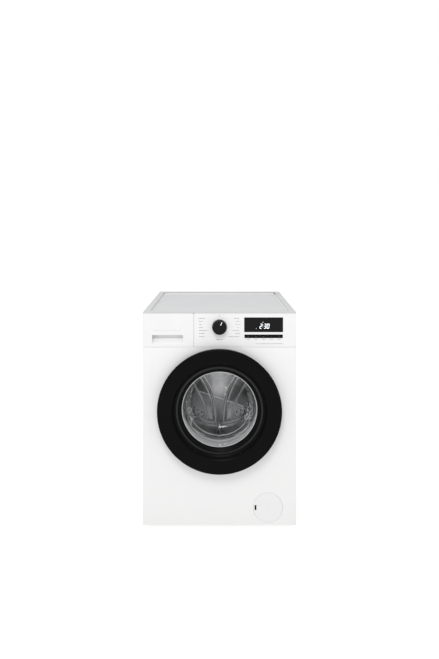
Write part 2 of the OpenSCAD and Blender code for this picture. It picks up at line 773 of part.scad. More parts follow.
// The open tray with three compartments
module drawer_tray() {
    t = 2;
    mid = tray_x0 + tray_w * 0.36;
    second = tray_x0 + tray_w * 0.66;
    color(tub_grey) difference() {
        block(tray_x0, tray_x1, front_y + 24, tray_y1, tray_z0, tray_z1);
        block(tray_x0 + t, mid - 1, front_y + 24 + t, tray_y1 - t, tray_z0 + t, tray_z1 + cut);
        block(mid + 1, second - 1, front_y + 60, tray_y1 - t, tray_z0 + t, tray_z1 + cut);
        block(mid + 1, second - 1, front_y + 24 + t, front_y + 58, tray_z0 + 26, tray_z1 + cut);
        block(second + 1, tray_x1 - t, front_y + 24 + t, tray_y1 - t, tray_z0 + t, tray_z1 + cut);
        block(mid + 4, second - 4, tray_y1 - 20, tray_y1 + cut, tray_z0 + t, tray_z0 + 20);
        translate([release_x, release_y, tray_z0 + 36]) rotate([0, 90, 0])
            cylinder(r = 2 + fit, h = 200, center = true);
    }
}

release_x = tray_x0 + tray_w * 0.51;
release_y = front_y + 44;

// The siphon cap of the softener compartment
module siphon_cap() {
    mid = tray_x0 + tray_w * 0.36;
    second = tray_x0 + tray_w * 0.66;
    color("royalblue") difference() {
        union() {
            block(mid + 2.5, second - 2.5, front_y + 110, tray_y1 - 26, tray_z0 + 30, tray_z0 + 33);
            translate([release_x, front_y + 170, tray_z0 + 2.4]) cylinder(r = 9, h = 42);
        }
        translate([release_x, front_y + 170, tray_z0 + 2]) cylinder(r = 6.5, h = 39);
    }
}

// The push lever that lets the drawer come out, on two small trunnions
module drawer_release() {
    w = tray_w * 0.3 - 6;
    color("royalblue") {
        translate([release_x, release_y, tray_z0 + 36]) rotate([0, 90, 0])
            cylinder(r = 2, h = w + 7, center = true);
        block(release_x - w / 2, release_x + w / 2, release_y - 10, release_y + 9,
            tray_z0 + 35.4, tray_z0 + 39);
    }
}

// The program knob: a skirt, a grip and a spindle
module program_knob() {
    f = front_y - knob_proud;
    color(black) {
        difference() {
            turned_y(0, knob_z, [[0, f + 0.6], [knob_r - 6, f], [knob_r - 4, f + 0.4],
                [knob_r - 1.6, f + 3], [knob_r - 0.6, f + 12], [knob_r, front_y - 2],
                [knob_r, front_y - 0.6], [knob_r - 3, front_y - 0.6], [knob_r - 4, f + 4],
                [spindle_r, f + 4], [spindle_r, front_y + 20.4], [0, front_y + 20.4]]);
            translate([0, f, knob_z]) rotate([0, pointer_deg, 0])
                block(-1.1, 1.1, -1, 0.7, 11, 24);
        }
    }
}

pointer_deg = 22.5;

// One key: a cap that stands just clear of its well
module key_cap(k) {
    color(black) {
        slab_y(front_y + 0.2, front_y + key_d)
            translate([key_x(k), key_z]) round_rect(key_pitch - 1.8, key_h, 1);
        block(key_x(k) - 3, key_x(k) + 3, front_y + key_d, front_y + 17, key_z - 3, key_z + 3);
    }
}

module key_1() { key_cap(0); }
module key_2() { key_cap(1); }
module key_3() { key_cap(2); }
module key_4() { key_cap(3); }
module key_5() { key_cap(4); }

// The filter plug: a grip, a sealing collar and a lint comb
module filter_plug() {
    color(grey) difference() {
        union() {
            rod_y(cover_x, cover_z, 37, pump_y - 7, pump_y - 0.3);
            rod_y(cover_x, cover_z, pump_r - 0.4, pump_y - 3, pump_y + 12);
            ring_y(cover_x, cover_z, 28, 25, pump_y + 12, pump_y + 60);
            block(cover_x - 25, cover_x + 25, pump_y - 16, pump_y - 6, cover_z - 3, cover_z + 3);
        }
        for (a = [0:60:150])
            along_y(cover_x, pump_y + 36, cover_z) rotate([0, 0, a + 30])
                cube([80, 14, 34], center = true);
    }
}

// The drain pump's impeller on its shaft
module pump_impeller() {
    color(white) union() {
        rod_y(cover_x, cover_z, 2.5, volute_y + 6, volute_y + 48);
        rod_y(cover_x, cover_z, 21, volute_y + 15, volute_y + 18);
        for (a = [0:45:150])
            along_y(cover_x, volute_y + 8, cover_z) rotate([0, 0, a])
                translate([-20, -1, 0]) cube([40, 2, 8]);
    }
}

// The round cover over the filter, with its snap ring
module filter_cover() {
    color(white) difference() {
        union() {
            rod_y(cover_x, cover_z, cover_r, front_y, front_y + skin);
            ring_y(cover_x, cover_z, cover_r - 3, cover_r - 5, front_y + skin - 0.5, front_y + 9);
        }
        block(cover_x - cover_r + 5.4, cover_x - cover_r + 12.4, front_y - cut, front_y + 12,
            cover_z - 10, cover_z + 10);
    }
}

// A levelling foot: a ribbed pad on a threaded stem
module foot(x, y) {
    color(black) translate([x, y, 0]) {
        cylinder(r = foot_pad_r, h = 4);
        translate([0, 0, 4]) cylinder(r1 = foot_pad_r, r2 = 15, h = 5);
        translate([0, 0, 9]) cylinder(r = 9, h = foot_h - 8, $fn = 6);
        translate([0, 0, 9]) cylinder(r = foot_stem, h = foot_h + 24);
    }
}

module foot_front_left() { foot(-foot_x, foot_front); }
module foot_front_right() { foot(foot_x, foot_front); }
module foot_rear_left() { foot(-foot_x, foot_rear); }
module foot_rear_right() { foot(foot_x, foot_rear); }

// The front half of the tub: a barrel with a mouth, a sump and a bolting flange
module tub_front() {
    color(tub_grey) difference() {
        union() {
            rod_y(0, door_z, tub_out, tub_y, tub_split);
            rod_y(0, door_z, tub_out + 10, tub_split - 9, tub_split);
            ring_y(0, door_z, mouth_r + 4, mouth_r, tub_y - 10, tub_y + 4);
            block(-70, 80, tub_y + 6, tub_split - 6, sump_z + 14, sump_z + 60);
            translate([sump_x, sump_y, sump_z]) cylinder(r = 17, h = 20);
            translate([spout_x, spout_y, 630]) cylinder(r = 16.6, h = hose_low - 616);
        }
        rod_y(0, door_z, tub_r, tub_y + 4, tub_split + cut);
        rod_y(0, door_z, mouth_r, tub_y - 12, tub_y + 5);
        block(-66, 76, tub_y + 10, tub_split - 10, sump_z + 18, sump_z + 90);
        translate([sump_x, sump_y, sump_z - cut]) cylinder(r = 13, h = 30);
        translate([spout_x, spout_y, 600]) cylinder(r = 13, h = 120);
        for (k = [0:11])
            rod_y((tub_out + 5.5) * cos(30 * k + 15), door_z + (tub_out + 5.5) * sin(30 * k + 15),
                2.6, tub_split - 12, tub_split + cut);
    }
}

// The rear half of the tub: a barrel, a ribbed back, the bearing hub and the lugs
module tub_rear() {
    color(tub_grey) difference() {
        union() {
            rod_y(0, door_z, tub_out, tub_split, tub_back);
            rod_y(0, door_z, tub_out + 10, tub_split, tub_split + 9);
            rod_y(0, door_z, hub_r, tub_back - 20, hub_end - 3);
            for (k = [0:7]) along_y(0, tub_back, door_z) rotate([0, 0, 45 * k + 22.5])
                translate([hub_r - 4, -2, -2]) cube([tub_out - hub_r - 8, 4, 20]);
            for (s = [-1, 1]) {
                block(s * spring_x - 3, s * spring_x + 3, spring_y - 14, spring_y + 14,
                    door_z + 60, spring_low + 12);
                block(s * damper_x - 14, s * damper_x + 14, damper_y - 16, damper_y + 16,
                    damper_top, door_z - 180);
                block(s * 62 - 8, s * 62 + 8, tub_split + 60, tub_back - 10, motor_z + 50, door_z - 240);
            }
        }
        rod_y(0, door_z, tub_r, tub_split - cut, tub_back - 4);
        rod_y(0, door_z, 31, tub_back - 22, tub_back + 1);
        rod_y(0, door_z, 17, tub_back - 22, hub_end);
        rod_y(0, door_z, 26, hub_end - 19, hub_end);
        for (s = [-1, 1])
            translate([s * spring_x - 10, spring_y, spring_low]) rotate([0, 90, 0])
                cylinder(r = 4, h = 20);
        for (k = [0:11])
            rod_y((tub_out + 5.5) * cos(30 * k + 15), door_z + (tub_out + 5.5) * sin(30 * k + 15),
                2.6, tub_split - cut, tub_split + 12);
    }
}

damper_top = door_z - 238;

// The concrete weights: a ring segment at the front and a saddle on top
module counterweights() {
    color(concrete) {
        difference() {
            ring_y(0, door_z, 250, 186, front_y + 44, tub_y - 0.2);
            block(-260, 260, front_y, tub_y, door_z - 60, door_z + 260);
        }
        difference() {
            block(-60, 150, front_y + 264, front_y + 326, 690, 776);
            rod_y(0, door_z, tub_out + 0.3, front_y, rear_y);
        }
    }
}

// The two ball bearings of the drum shaft and the shaft seal
module bearings() {
    color(steel) {
        ring_y(0, door_z, 30.99, shaft_r + 2.5 + fit, tub_back - 16, tub_back + 1);
        ring_y(0, door_z, 25.99, shaft_r + fit, hub_end - 18, hub_end - 3);
    }
    color(black) ring_y(0, door_z, 30.5, shaft_r + 2.5 + fit, tub_back - 22, tub_back - 16.2);
}

// The looped heating rod in the sump with its terminal plate
module heater() {
    z = sump_z + 28;
    y0 = tub_y + 34;
    y1 = tub_split - 26;
    color(steel) {
        for (s = [-1, 1])
            rod_y(s * 14, z, 4, y0, y1);
        translate([0, y0, z]) rotate([0, 0, 180]) rotate_extrude(angle = 180)
            translate([14, 0]) circle(4);
        block(-24, 24, y1, y1 + 6, z - 8, z + 8);
    }
}

// The motor's stator can, hung from the tub's two lugs
module motor_housing() {
    y0 = tub_split + 62;
    y1 = tub_back + 24;
    color(zinc) difference() {
        union() {
            rod_y(0, motor_z, 56, y0, y1);
            for (s = [-1, 1])
                block(s * 55 - 12, s * 55 + 12, y0 + 6, tub_back - 14, motor_z + 10, motor_z + 50);
        }
        rod_y(0, motor_z, 44, y0 + 6, y1 - 6);
        rod_y(0, motor_z, 6 + fit, y0 - cut, y1 + cut);
        for (k = [0:11])
            along_y(0, y0 + 14, motor_z) rotate([0, 0, 30 * k]) translate([40, -4, 0]) cube([30, 8, 26]);
    }
}

// The motor's rotor with its shaft and ribbed pulley
module motor_rotor() {
    y0 = tub_split + 62;
    color(steel) {
        rod_y(0, motor_z, 6, y0 - 4, pulley_y + belt_w + 8);
        rod_y(0, motor_z, 43, y0 + 12, tub_back + 12);
        rod_y(0, motor_z, pinion_r - 0.3, pulley_y - 1, pulley_y + belt_w + 5);
        rod_y(0, motor_z, pinion_r + 3, pulley_y - 4, pulley_y - 1);
    }
}

// The flat ribbed belt: two arcs and two straight spans
module drive_belt() {
    span = door_z - motor_z;
    lean = asin((pulley_r - pinion_r) / span);
    run = span * cos(lean);
    color(black) {
        belt_arc(door_z, pulley_r + 0.3, -lean, 180 + 2 * lean);
        belt_arc(motor_z, pinion_r + 0.3, 180 + lean, 180 - 2 * lean);
        for (s = [-1, 1])
            translate([0, pulley_y + 2, door_z]) rotate([0, s * lean, 0])
                translate([s * (pulley_r + 0.3 + belt_t / 2), belt_w / 2, -run / 2])
                    cube([belt_t, belt_w, run], center = true);
    }
}

module belt_arc(z, r, from, sweep) {
    translate([0, pulley_y + 2 + belt_w, z]) rotate([90, 0, 0]) rotate([0, 0, from])
        rotate_extrude(angle = sweep) translate([r, 0]) square([belt_t, belt_w]);
}

// The dampers' rods, pinned to the tub's lugs
module damper_rods() {
    color(steel) for (s = [-1, 1])
        translate([s * damper_x, damper_y, foot_h + 50])
            cylinder(r = 6, h = damper_top - foot_h - 50);
}

// The perforated stainless drum with its rolled front lip
module drum_shell() {
    w = sheet;
    color(steel) difference() {
        turned_y(0, door_z, [[158, drum_y + 10], [158, drum_y + 1], [161, drum_y], [drum_r - 10, drum_y],
            [drum_r - 3, drum_y + 3], [drum_r, drum_y + 10], [drum_r, drum_back], [0, drum_back],
            [0, drum_back - w], [drum_r - w, drum_back - w], [drum_r - w, drum_y + 10.6],
            [drum_r - 4, drum_y + 4], [drum_r - 10.5, drum_y + w], [161.5, drum_y + w],
            [159.2, drum_y + 2], [159.2, drum_y + 10]]);
        for (k = [0:11]) for (j = [0:2])
            along_y(0, drum_y + 60 + 80 * j, door_z) rotate([0, 0, 30 * k + 15])
                rotate([0, 90, 0]) cylinder(r = 2, h = drum_r + 5);
    }
}

// The three-armed cast spider with the drum shaft
module drum_spider() {
    y0 = drum_back;
    color("silver") union() {
        for (k = [0:2])
            along_y(0, y0, door_z) rotate([0, 0, 120 * k + 90])
                translate([24, -14, 0]) cube([drum_r - 30, 28, 6]);
        rod_y(0, door_z, 36, y0, tub_back - 23);
        rod_y(0, door_z, shaft_r + 2.5, y0 + 4, hub_end - 19);
        rod_y(0, door_z, shaft_r, hub_end - 19, pulley_y + belt_w + 4);
    }
}

// The three lifters on the drum's wall
module drum_lifters() {
    color(steel) for (k = [0:2])
        along_y(0, drum_y + 16, door_z) rotate([0, 0, 120 * k + 90])
            linear_extrude(drum_l - 32) polygon([[drum_r - 4.2, -32], [drum_r - 22, -20],
                [drum_r - 44, -9], [drum_r - 50, -4], [drum_r - 50, 4], [drum_r - 44, 9],
                [drum_r - 22, 20], [drum_r - 4.2, 32]]);
}

// The big spoked pulley and its bolt
module drum_pulley() {
    y0 = pulley_y;
    y1 = pulley_y + belt_w + 4;
    color(zinc) difference() {
        union() {
            ring_y(0, door_z, pulley_r, pulley_r - 8, y0, y1);
            rod_y(0, door_z, 26, y0, y1);
            for (k = [0:5])
                along_y(0, y0 + 4, door_z) rotate([0, 0, 60 * k])
                    translate([20, -7, 0]) cube([pulley_r - 24, 14, 7]);
        }
        rod_y(0, door_z, shaft_r, y0 - cut, y1 + cut);
    }
    color(steel) along_y(0, y1, door_z) cylinder(r = 15, h = 5, $fn = 6);
}

cabinet_shell();
rear_panel();
front_panel();
base_frame();
cross_rails();
worktop_panel();
worktop_frame();
control_fascia();
display_window();
control_board();
drawer_housing();
inlet_valve();
inlet_hose();
dispenser_hose();
door_gasket();
door_lock();
pump_housing();
drain_hose();
sump_hose();
cable_gland();
suspension_springs();
damper_cylinders();
case_screws();
hinge_bracket();
hinge_pin();
door_bezel();
door_frame();
door_glass();
hinge_arm();
latch_hook();
drawer_front();
drawer_tray();
siphon_cap();
drawer_release();
program_knob();
key_1();
key_2();
key_3();
key_4();
key_5();
filter_plug();
pump_impeller();
filter_cover();
foot_front_left();
foot_front_right();
foot_rear_left();
foot_rear_right();
tub_front();
tub_rear();
counterweights();
bearings();
heater();
motor_housing();
drive_belt();
damper_rods();
drum_shell();
drum_spider();
drum_lifters();
drum_pulley();
motor_rotor();
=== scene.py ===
"""Looks of a front loading washing machine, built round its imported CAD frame."""

import json
import logging
import math
import random
from dataclasses import dataclass, field
from enum import Enum

import bmesh
import bpy
from mathutils import Matrix, Vector


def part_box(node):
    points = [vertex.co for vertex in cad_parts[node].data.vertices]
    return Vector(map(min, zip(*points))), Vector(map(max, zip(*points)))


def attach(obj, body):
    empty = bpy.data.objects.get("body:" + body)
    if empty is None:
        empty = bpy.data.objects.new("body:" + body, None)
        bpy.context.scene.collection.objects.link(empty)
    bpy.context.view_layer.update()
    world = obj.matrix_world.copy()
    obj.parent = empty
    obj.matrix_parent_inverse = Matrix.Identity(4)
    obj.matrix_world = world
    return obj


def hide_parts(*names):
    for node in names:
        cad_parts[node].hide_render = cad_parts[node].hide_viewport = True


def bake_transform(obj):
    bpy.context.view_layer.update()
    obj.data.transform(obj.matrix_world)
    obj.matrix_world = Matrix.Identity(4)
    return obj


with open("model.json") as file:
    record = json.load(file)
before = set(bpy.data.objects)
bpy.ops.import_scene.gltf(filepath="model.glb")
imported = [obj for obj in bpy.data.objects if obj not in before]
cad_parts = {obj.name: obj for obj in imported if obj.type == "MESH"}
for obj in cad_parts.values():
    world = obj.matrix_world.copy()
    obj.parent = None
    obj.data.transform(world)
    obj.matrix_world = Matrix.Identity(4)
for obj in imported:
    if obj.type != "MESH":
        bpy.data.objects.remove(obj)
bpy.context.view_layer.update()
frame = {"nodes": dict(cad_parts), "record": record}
LOG = logging.getLogger("washer")
Point = tuple[float, float, float]
Point2 = tuple[float, float]
Colour = tuple[float, float, float, float]
MM = 0.001
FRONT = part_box("front_panel")[0].y
PRINT_OUT, PRINT_IN = 0.12 * MM, 0.1 * MM
LIT_OUT, LIT_IN = 0.08 * MM, 0.2 * MM


def shade(level: float, tint: Point = (1.0, 1.0, 1.0)) -> Colour:
    """Return a grey of one level with a slight tint."""
    return (level * tint[0], level * tint[1], level * tint[2], 1.0)


class Term:
    """A number socket that builds Math nodes when it meets an operator."""

    def __init__(self, tree: bpy.types.NodeTree, socket: bpy.types.NodeSocket) -> None:
        """Keep the tree and the output socket."""
        self.tree = tree
        self.socket = socket

    def math(self, operation: str, first: "Term | float", second: "Term | float") -> "Term":
        """Add one Math node.

        Args:
            operation: The Math node's operation.
            first: Left value.
            second: Right value.

        Returns:
            The result as a term.
        """
        made = self.tree.nodes.new("ShaderNodeMath")
        made.operation = operation
        for socket, value in zip(made.inputs, (first, second)):
            if isinstance(value, Term):
                self.tree.links.new(value.socket, socket)
            else:
                socket.default_value = value
        return Term(self.tree, made.outputs[0])

    def __add__(self, other: "Term | float") -> "Term":
        """Add."""
        return self.math("ADD", self, other)

    def __radd__(self, other: float) -> "Term":
        """Add from the left."""
        return self.math("ADD", other, self)

    def __sub__(self, other: "Term | float") -> "Term":
        """Subtract."""
        return self.math("SUBTRACT", self, other)

    def __rsub__(self, other: float) -> "Term":
        """Subtract from a number."""
        return self.math("SUBTRACT", other, self)

    def __mul__(self, other: "Term | float") -> "Term":
        """Multiply."""
        return self.math("MULTIPLY", self, other)

    def __rmul__(self, other: float) -> "Term":
        """Multiply from the left."""
        return self.math("MULTIPLY", other, self)

    def __pow__(self, other: float) -> "Term":
        """Raise to a power."""
        return self.math("POWER", self, other)

    def clamp(self) -> "Term":
        """Hold the value between 0 and 1."""
        return self.math("MINIMUM", self.math("MAXIMUM", self, 0.0), 1.0)


class Surface:
    """A node material with one Principled shader, and helpers to feed it."""

    def __init__(self, name: str, **constants: object) -> None:
        """Start a material.

        Args:
            name: Material name.
            constants: Principled socket names, underscores for spaces, with constant values.
        """
        self.material = bpy.data.materials.new(name)
        self.material.use_nodes = True
        self.tree = self.material.node_tree
        self.shader = self.tree.nodes["Principled BSDF"]
        for key, value in constants.items():
            self.shader.inputs[key.replace("_", " ")].default_value = value
        coords = self.node("ShaderNodeTexCoord", {}, {})
        self.place = coords.outputs["Object"]

    def node(self, kind: str, settings: dict, inputs: dict) -> bpy.types.Node:
        """Add any node.

        Args:
            kind: The node's type name.
            settings: Attributes, set first.
            inputs: Socket names or numbers with a constant, a Term or a socket.

        Returns:
            The new node.
        """
        made = self.tree.nodes.new(kind)
        for key, value in settings.items():
            setattr(made, key, value)
        for key, value in inputs.items():
            if isinstance(value, Term):
                self.tree.links.new(value.socket, made.inputs[key])
            elif isinstance(value, bpy.types.NodeSocket):
                self.tree.links.new(value, made.inputs[key])
            else:
                made.inputs[key].default_value = value
        return made

    def term(self, socket: bpy.types.NodeSocket) -> Term:
        """Wrap a number socket."""
        return Term(self.tree, socket)

    def stretched(self, scale: Point) -> bpy.types.NodeSocket:
        """Object coordinates scaled along each axis."""
        made = self.node("ShaderNodeVectorMath", {"operation": "MULTIPLY"}, {0: self.place, 1: scale})
        return made.outputs[0]

    def noise(self, scale: float, detail: float = 3.0, stretch: Point = (1.0, 1.0, 1.0)) -> Term:
        """Add cloudy noise.

        Args:
            scale: Clouds per metre.
            detail: Finer layers in each cloud.
            stretch: Further scale along each axis.

        Returns:
            A value between 0 and 1.
        """
        made = self.node("ShaderNodeTexNoise", {}, {
            "Vector": self.stretched(stretch), "Scale": scale, "Detail": detail})
        return self.term(made.outputs["Fac"])

    def axis(self, name: str) -> Term:
        """One object coordinate in metres."""
        made = self.node("ShaderNodeSeparateXYZ", {}, {0: self.place})
        return self.term(made.outputs[name])

    def mixed(self, factor: Term, low: object, high: object) -> bpy.types.NodeSocket:
        """Mix two colours, each a constant or a socket."""
        made = self.node("ShaderNodeMix", {"data_type": "RGBA"}, {0: factor, 6: low, 7: high})
        return made.outputs[2]

    def feed(self, name: str, value: "Term | bpy.types.NodeSocket") -> None:
        """Link a varying value into the shader."""
        socket = value.socket if isinstance(value, Term) else value
        self.tree.links.new(socket, self.shader.inputs[name])

    def bump(self, height: Term, strength: float, distance: float) -> None:
        """Feed the shader's normal from a height.

        Args:
            height: Relief between 0 and 1.
            strength: Share of the relief that shows.
            distance: Depth of the relief, in metres.
        """
        made = self.node("ShaderNodeBump", {}, {
            "Strength": strength, "Distance": distance, "Height": height})
        self.tree.links.new(made.outputs[0], self.shader.inputs["Normal"])


@dataclass(frozen=True)
class Paint:
    """Smooth powder coat with a faint orange peel and a little dust low down."""

    name: str
    level: float = 0.71
    roughness: float = 0.32
    peel: float = 0.05

    def build(self) -> bpy.types.Material:
        """Mix the finish.

        Returns:
            The material.
        """
        made = Surface(self.name, Roughness=self.roughness, Coat_Weight=0.25, Coat_Roughness=0.15)
        cloud = made.noise(4.0)
        low = (1.0 - made.axis("Z") * 9.0).clamp()
        tone = (cloud * 0.3 + low * 0.5).clamp()
        dusty = shade(self.level * 0.95, (1, 0.995, 0.98))
        made.feed("Base Color", made.mixed(tone, shade(self.level), dusty))
        made.feed("Roughness", made.noise(28.0) * 0.08 + (self.roughness - 0.04))
        made.bump(made.noise(900.0, 2.0), self.peel, 0.0002)
        return made.material


@dataclass(frozen=True)
class Moulded:
    """Moulded plastic with a spark eroded grain."""

    name: str
    level: float
    roughness: float = 0.45
    grain: float = 0.12
    tint: Point = (1.0, 1.0, 1.0)
    coat: float = 0.0

    def build(self) -> bpy.types.Material:
        """Mix the finish.

        Returns:
            The material.
        """
        made = Surface(self.name, Coat_Weight=self.coat, Coat_Roughness=0.08)
        cloud = made.noise(7.0)
        made.feed("Base Color", made.mixed(cloud, shade(self.level, self.tint),
                                           shade(self.level * 0.9, self.tint)))
        made.feed("Roughness", made.noise(60.0) * 0.1 + (self.roughness - 0.05))
        made.bump(made.noise(1600.0, 2.0), self.grain, 0.00015)
        return made.material


@dataclass(frozen=True)
class Gloss:
    """Polished black plastic with faint wiping marks."""

    name: str
    level: float = 0.006
    roughness: float = 0.16
    tint: Point = (1.0, 1.0, 1.03)
    shine: float = 0.14

    def build(self) -> bpy.types.Material:
        """Mix the finish.

        Returns:
            The material.
        """
        made = Surface(self.name, Specular_IOR_Level=self.shine)
        wiped = made.noise(18.0, 4.0, (1.0, 1.0, 0.25))
        made.feed("Base Color", made.mixed(wiped, shade(self.level, self.tint),
                                           shade(self.level * 1.6, self.tint)))
        made.feed("Roughness", wiped * 0.14 + (self.roughness - 0.06))
        made.bump(made.noise(500.0, 2.0), 0.02, 0.0001)
        return made.material


@dataclass(frozen=True)
class Rubber:
    """Moulded rubber: dull, with a bloom and a fine skin."""

    name: str
    level: float = 0.16
    tint: Point = (1.0, 1.0, 1.03)

    def build(self) -> bpy.types.Material:
        """Mix the finish.

        Returns:
            The material.
        """
        made = Surface(self.name, Roughness=0.6)
        bloom = made.noise(22.0, 4.0)
        made.feed("Base Color", made.mixed(bloom, shade(self.level, self.tint),
                                           shade(self.level * 1.35, self.tint)))
        made.feed("Roughness", bloom * 0.2 + 0.5)
        made.bump(made.noise(700.0, 3.0), 0.2, 0.0003)
        return made.material


class Grain(Enum):
    """Direction of a brushed or rolled finish."""

    ALONG_Z = (30.0, 20.0, 2.0)
    ALONG_Y = (160.0, 2.0, 160.0)
    SPANGLE = (1.0, 1.0, 1.0)


@dataclass(frozen=True)
class Steel:
    """Sheet or turned steel with a direction to its grain."""

    name: str
    level: float = 0.6
    roughness: float = 0.3
    grain: Grain = Grain.SPANGLE
    tint: Point = (1.0, 1.0, 1.01)
    relief: float = 0.08

    def build(self) -> bpy.types.Material:
        """Mix the finish.

        Returns:
            The material.
        """
        made = Surface(self.name, Metallic=1.0)
        streak = made.noise(6.0 if self.grain is not Grain.SPANGLE else 90.0, 4.0, self.grain.value)
        made.feed("Base Color", made.mixed(streak, shade(self.level, self.tint),
                                           shade(self.level * 0.82, self.tint)))
        made.feed("Roughness", streak * 0.16 + (self.roughness - 0.08))
        made.bump(streak, self.relief, 0.0002)
        return made.material


@dataclass(frozen=True)
class Cast:
    """Cast metal or concrete with a rough skin."""

    name: str
    level: float = 0.5
    metallic: float = 1.0
    roughness: float = 0.5
    tint: Point = (1.0, 1.0, 1.0)

    def build(self) -> bpy.types.Material:
        """Mix the finish.

        Returns:
            The material.
        """
        made = Surface(self.name, Metallic=self.metallic)
        pits = made.noise(140.0, 5.0)
        cloud = made.noise(11.0)
        made.feed("Base Color", made.mixed((pits * 0.5 + cloud * 0.5).clamp(),
                                           shade(self.level * 0.75, self.tint),
                                           shade(self.level * 1.15, self.tint)))
        made.feed("Roughness", pits * 0.2 + (self.roughness - 0.1))
        made.bump(pits, 0.35, 0.0008)
        return made.material


@dataclass(frozen=True)
class ClearGlass:
    """Pressed glass: clear face on, with more reflection at its edges."""

    name: str
    clear: float = 0.02

    def build(self) -> bpy.types.Material:
        """Mix the finish.

        Returns:
            The material.
        """
        made = Surface(self.name, Metallic=1.0, Roughness=0.04)
        rim = made.node("ShaderNodeLayerWeight", {}, {"Blend": 0.32})
        facing = made.term(rim.outputs["Facing"])
        film = made.noise(9.0, 4.0)
        made.feed("Base Color", made.mixed(film, (0.78, 0.82, 0.84, 1.0), (0.7, 0.75, 0.78, 1.0)))
        made.feed("Alpha", (facing ** 4.0 * 0.7 + film * 0.015 + self.clear).clamp())
        made.feed("Roughness", film * 0.03 + 0.02)
        return made.material


@dataclass(frozen=True)
class PaintedSparkle:
    """Painted highlight: broken bright reflections painted as a noisy pale colour on a thin sheet in the side of
    pressed glass.
    """

    name: str
    cover: float = 0.5

    def build(self) -> bpy.types.Material:
        """Mix the finish.

        Returns:
            The material.
        """
        made = Surface(self.name, Roughness=0.25, Coat_Weight=1.0)
        cells = made.noise(150.0, 4.0, (1.0, 0.45, 1.0))
        # Painted highlight: near-white patches, shown where the alpha lets them, stand in for glints in the
        # glass.
        made.feed("Base Color", made.mixed(cells, shade(0.5), shade(0.98)))
        made.feed("Alpha", ((cells - self.cover) * 7.0).clamp() * 0.55)
        return made.material


@dataclass(frozen=True)
class Ink:
    """Printed ink or a light that shines through, with slight unevenness."""

    name: str
    colour: Colour
    glow: float = 0.0

    def build(self) -> bpy.types.Material:
        """Mix the finish.

        Returns:
            The material.
        """
        made = Surface(self.name, Roughness=0.5, Emission_Strength=self.glow)
        speck = made.noise(600.0)
        paler = tuple(min(1.0, c * 1.12 + 0.01) for c in self.colour[:3]) + (1.0,)
        tone = made.mixed(speck, self.colour, paler)
        made.feed("Base Color", tone)
        if self.glow > 0.0:
            made.feed("Emission Color", tone)
        return made.material


FINISHES = {
    "white_paint": Paint("white_paint"),
    "white_plastic": Moulded("white_plastic", 0.72, 0.36, 0.05, coat=0.2),
    "worktop_laminate": Moulded("worktop_laminate", 0.53, 0.5, 0.35, (0.99, 1.0, 1.01)),
    "grey_plastic": Moulded("grey_plastic", 0.09),
    "black_plastic": Moulded("black_plastic", 0.012),
    "tub_plastic": Moulded("tub_plastic", 0.36, 0.5, 0.2),
    "tray_plastic": Moulded("tray_plastic", 0.66, 0.42, 0.06),
    "blue_plastic": Moulded("blue_plastic", 0.4, 0.4, 0.06, (0.15, 0.42, 1.0)),
    "circuit_board": Moulded("circuit_board", 0.2, 0.4, 0.1, (0.1, 1.0, 0.4)),
    "black_glass": Gloss("black_glass", 0.003, 0.1),
    "black_gloss": Gloss("black_gloss", 0.002, 0.34, shine=0.05),
    "knob_black": Gloss("knob_black", 0.005, 0.36, shine=0.1),
    "key_black": Gloss("key_black", 0.003, 0.16, shine=0.08),
    "grey_rubber": Rubber("grey_rubber", 0.2),
    "foot_rubber": Rubber("foot_rubber", 0.02),
    "belt_rubber": Rubber("belt_rubber", 0.012),
    "zinc_steel": Steel("zinc_steel", 0.55, 0.38),
    "spring_steel": Steel("spring_steel", 0.6, 0.28),
    "drum_steel": Steel("drum_steel", 0.8, 0.3, Grain.ALONG_Y, relief=0.03),
    "rotor_steel": Steel("rotor_steel", 0.25, 0.45),
    "cast_aluminium": Cast("cast_aluminium", 0.6),
    "concrete": Cast("concrete", 0.42, 0.0, 0.9, (1.0, 0.98, 0.94)),
    "door_glass": ClearGlass("door_glass"),
}
LEGEND_INK = Ink("legend_ink", (0.1, 0.1, 0.11, 1.0))
PALE_INK = Ink("pale_ink", (0.5, 0.5, 0.51, 1.0))
# Painted shade: grey for the shaded left wall of the drawer grip.
PAINTED_SHADE_GREY = Moulded("painted_shade_grey", 0.42, 0.5, 0.1)
ACCENT_INK = Ink("accent_ink", (0.5, 0.36, 0.62, 1.0))
POINTER_INK = Ink("pointer_ink", (0.85, 0.85, 0.86, 1.0))
DIGIT_GLOW = Ink("digit_glow", (0.86, 0.93, 1.0, 1.0), 0.7)
TRIM_GREY = Moulded("trim_grey", 0.5, 0.45, 0.1)
LIP_GLOSS = Gloss("lip_gloss", 0.006, 0.34, shine=0.28)
# Painted highlight: pale glossy colour for bright lines in the glass.
PAINTED_EDGE_HIGHLIGHT = Moulded("painted_edge_highlight", 0.62, 0.2, 0.05, (0.95, 1.0, 1.0), coat=1.0)
# Painted highlight: glints painted on sheets in the glass bowl's side.
PAINTED_GLASS_SPARKLE = PaintedSparkle("painted_glass_sparkle", 0.47)
# Painted highlight: near-white for the bright lines along the drum back's beads.
PAINTED_BEAD_HIGHLIGHT = Moulded("painted_bead_highlight", 0.96, 0.25, 0.05, coat=1.0)
# Painted shade: black for the darkness seen through the slots in the drum back.
PAINTED_SLOT_SHADE = Moulded("painted_slot_shade", 0.015, 0.7, 0.2)
NODE_FINISHES = {"worktop_frame": TRIM_GREY}


def face_outward(mesh: bpy.types.Mesh, weld: float = 0.0) -> None:
    """Turn all faces outward.

    Args:
        mesh: The mesh to mend.
        weld: Points closer than this are joined first, if above 0.
    """
    made = bmesh.new()
    made.from_mesh(mesh)
    if weld > 0.0:
        bmesh.ops.remove_doubles(made, verts=made.verts, dist=weld)
    bmesh.ops.recalc_face_normals(made, faces=made.faces)
    made.to_mesh(mesh)
    made.free()


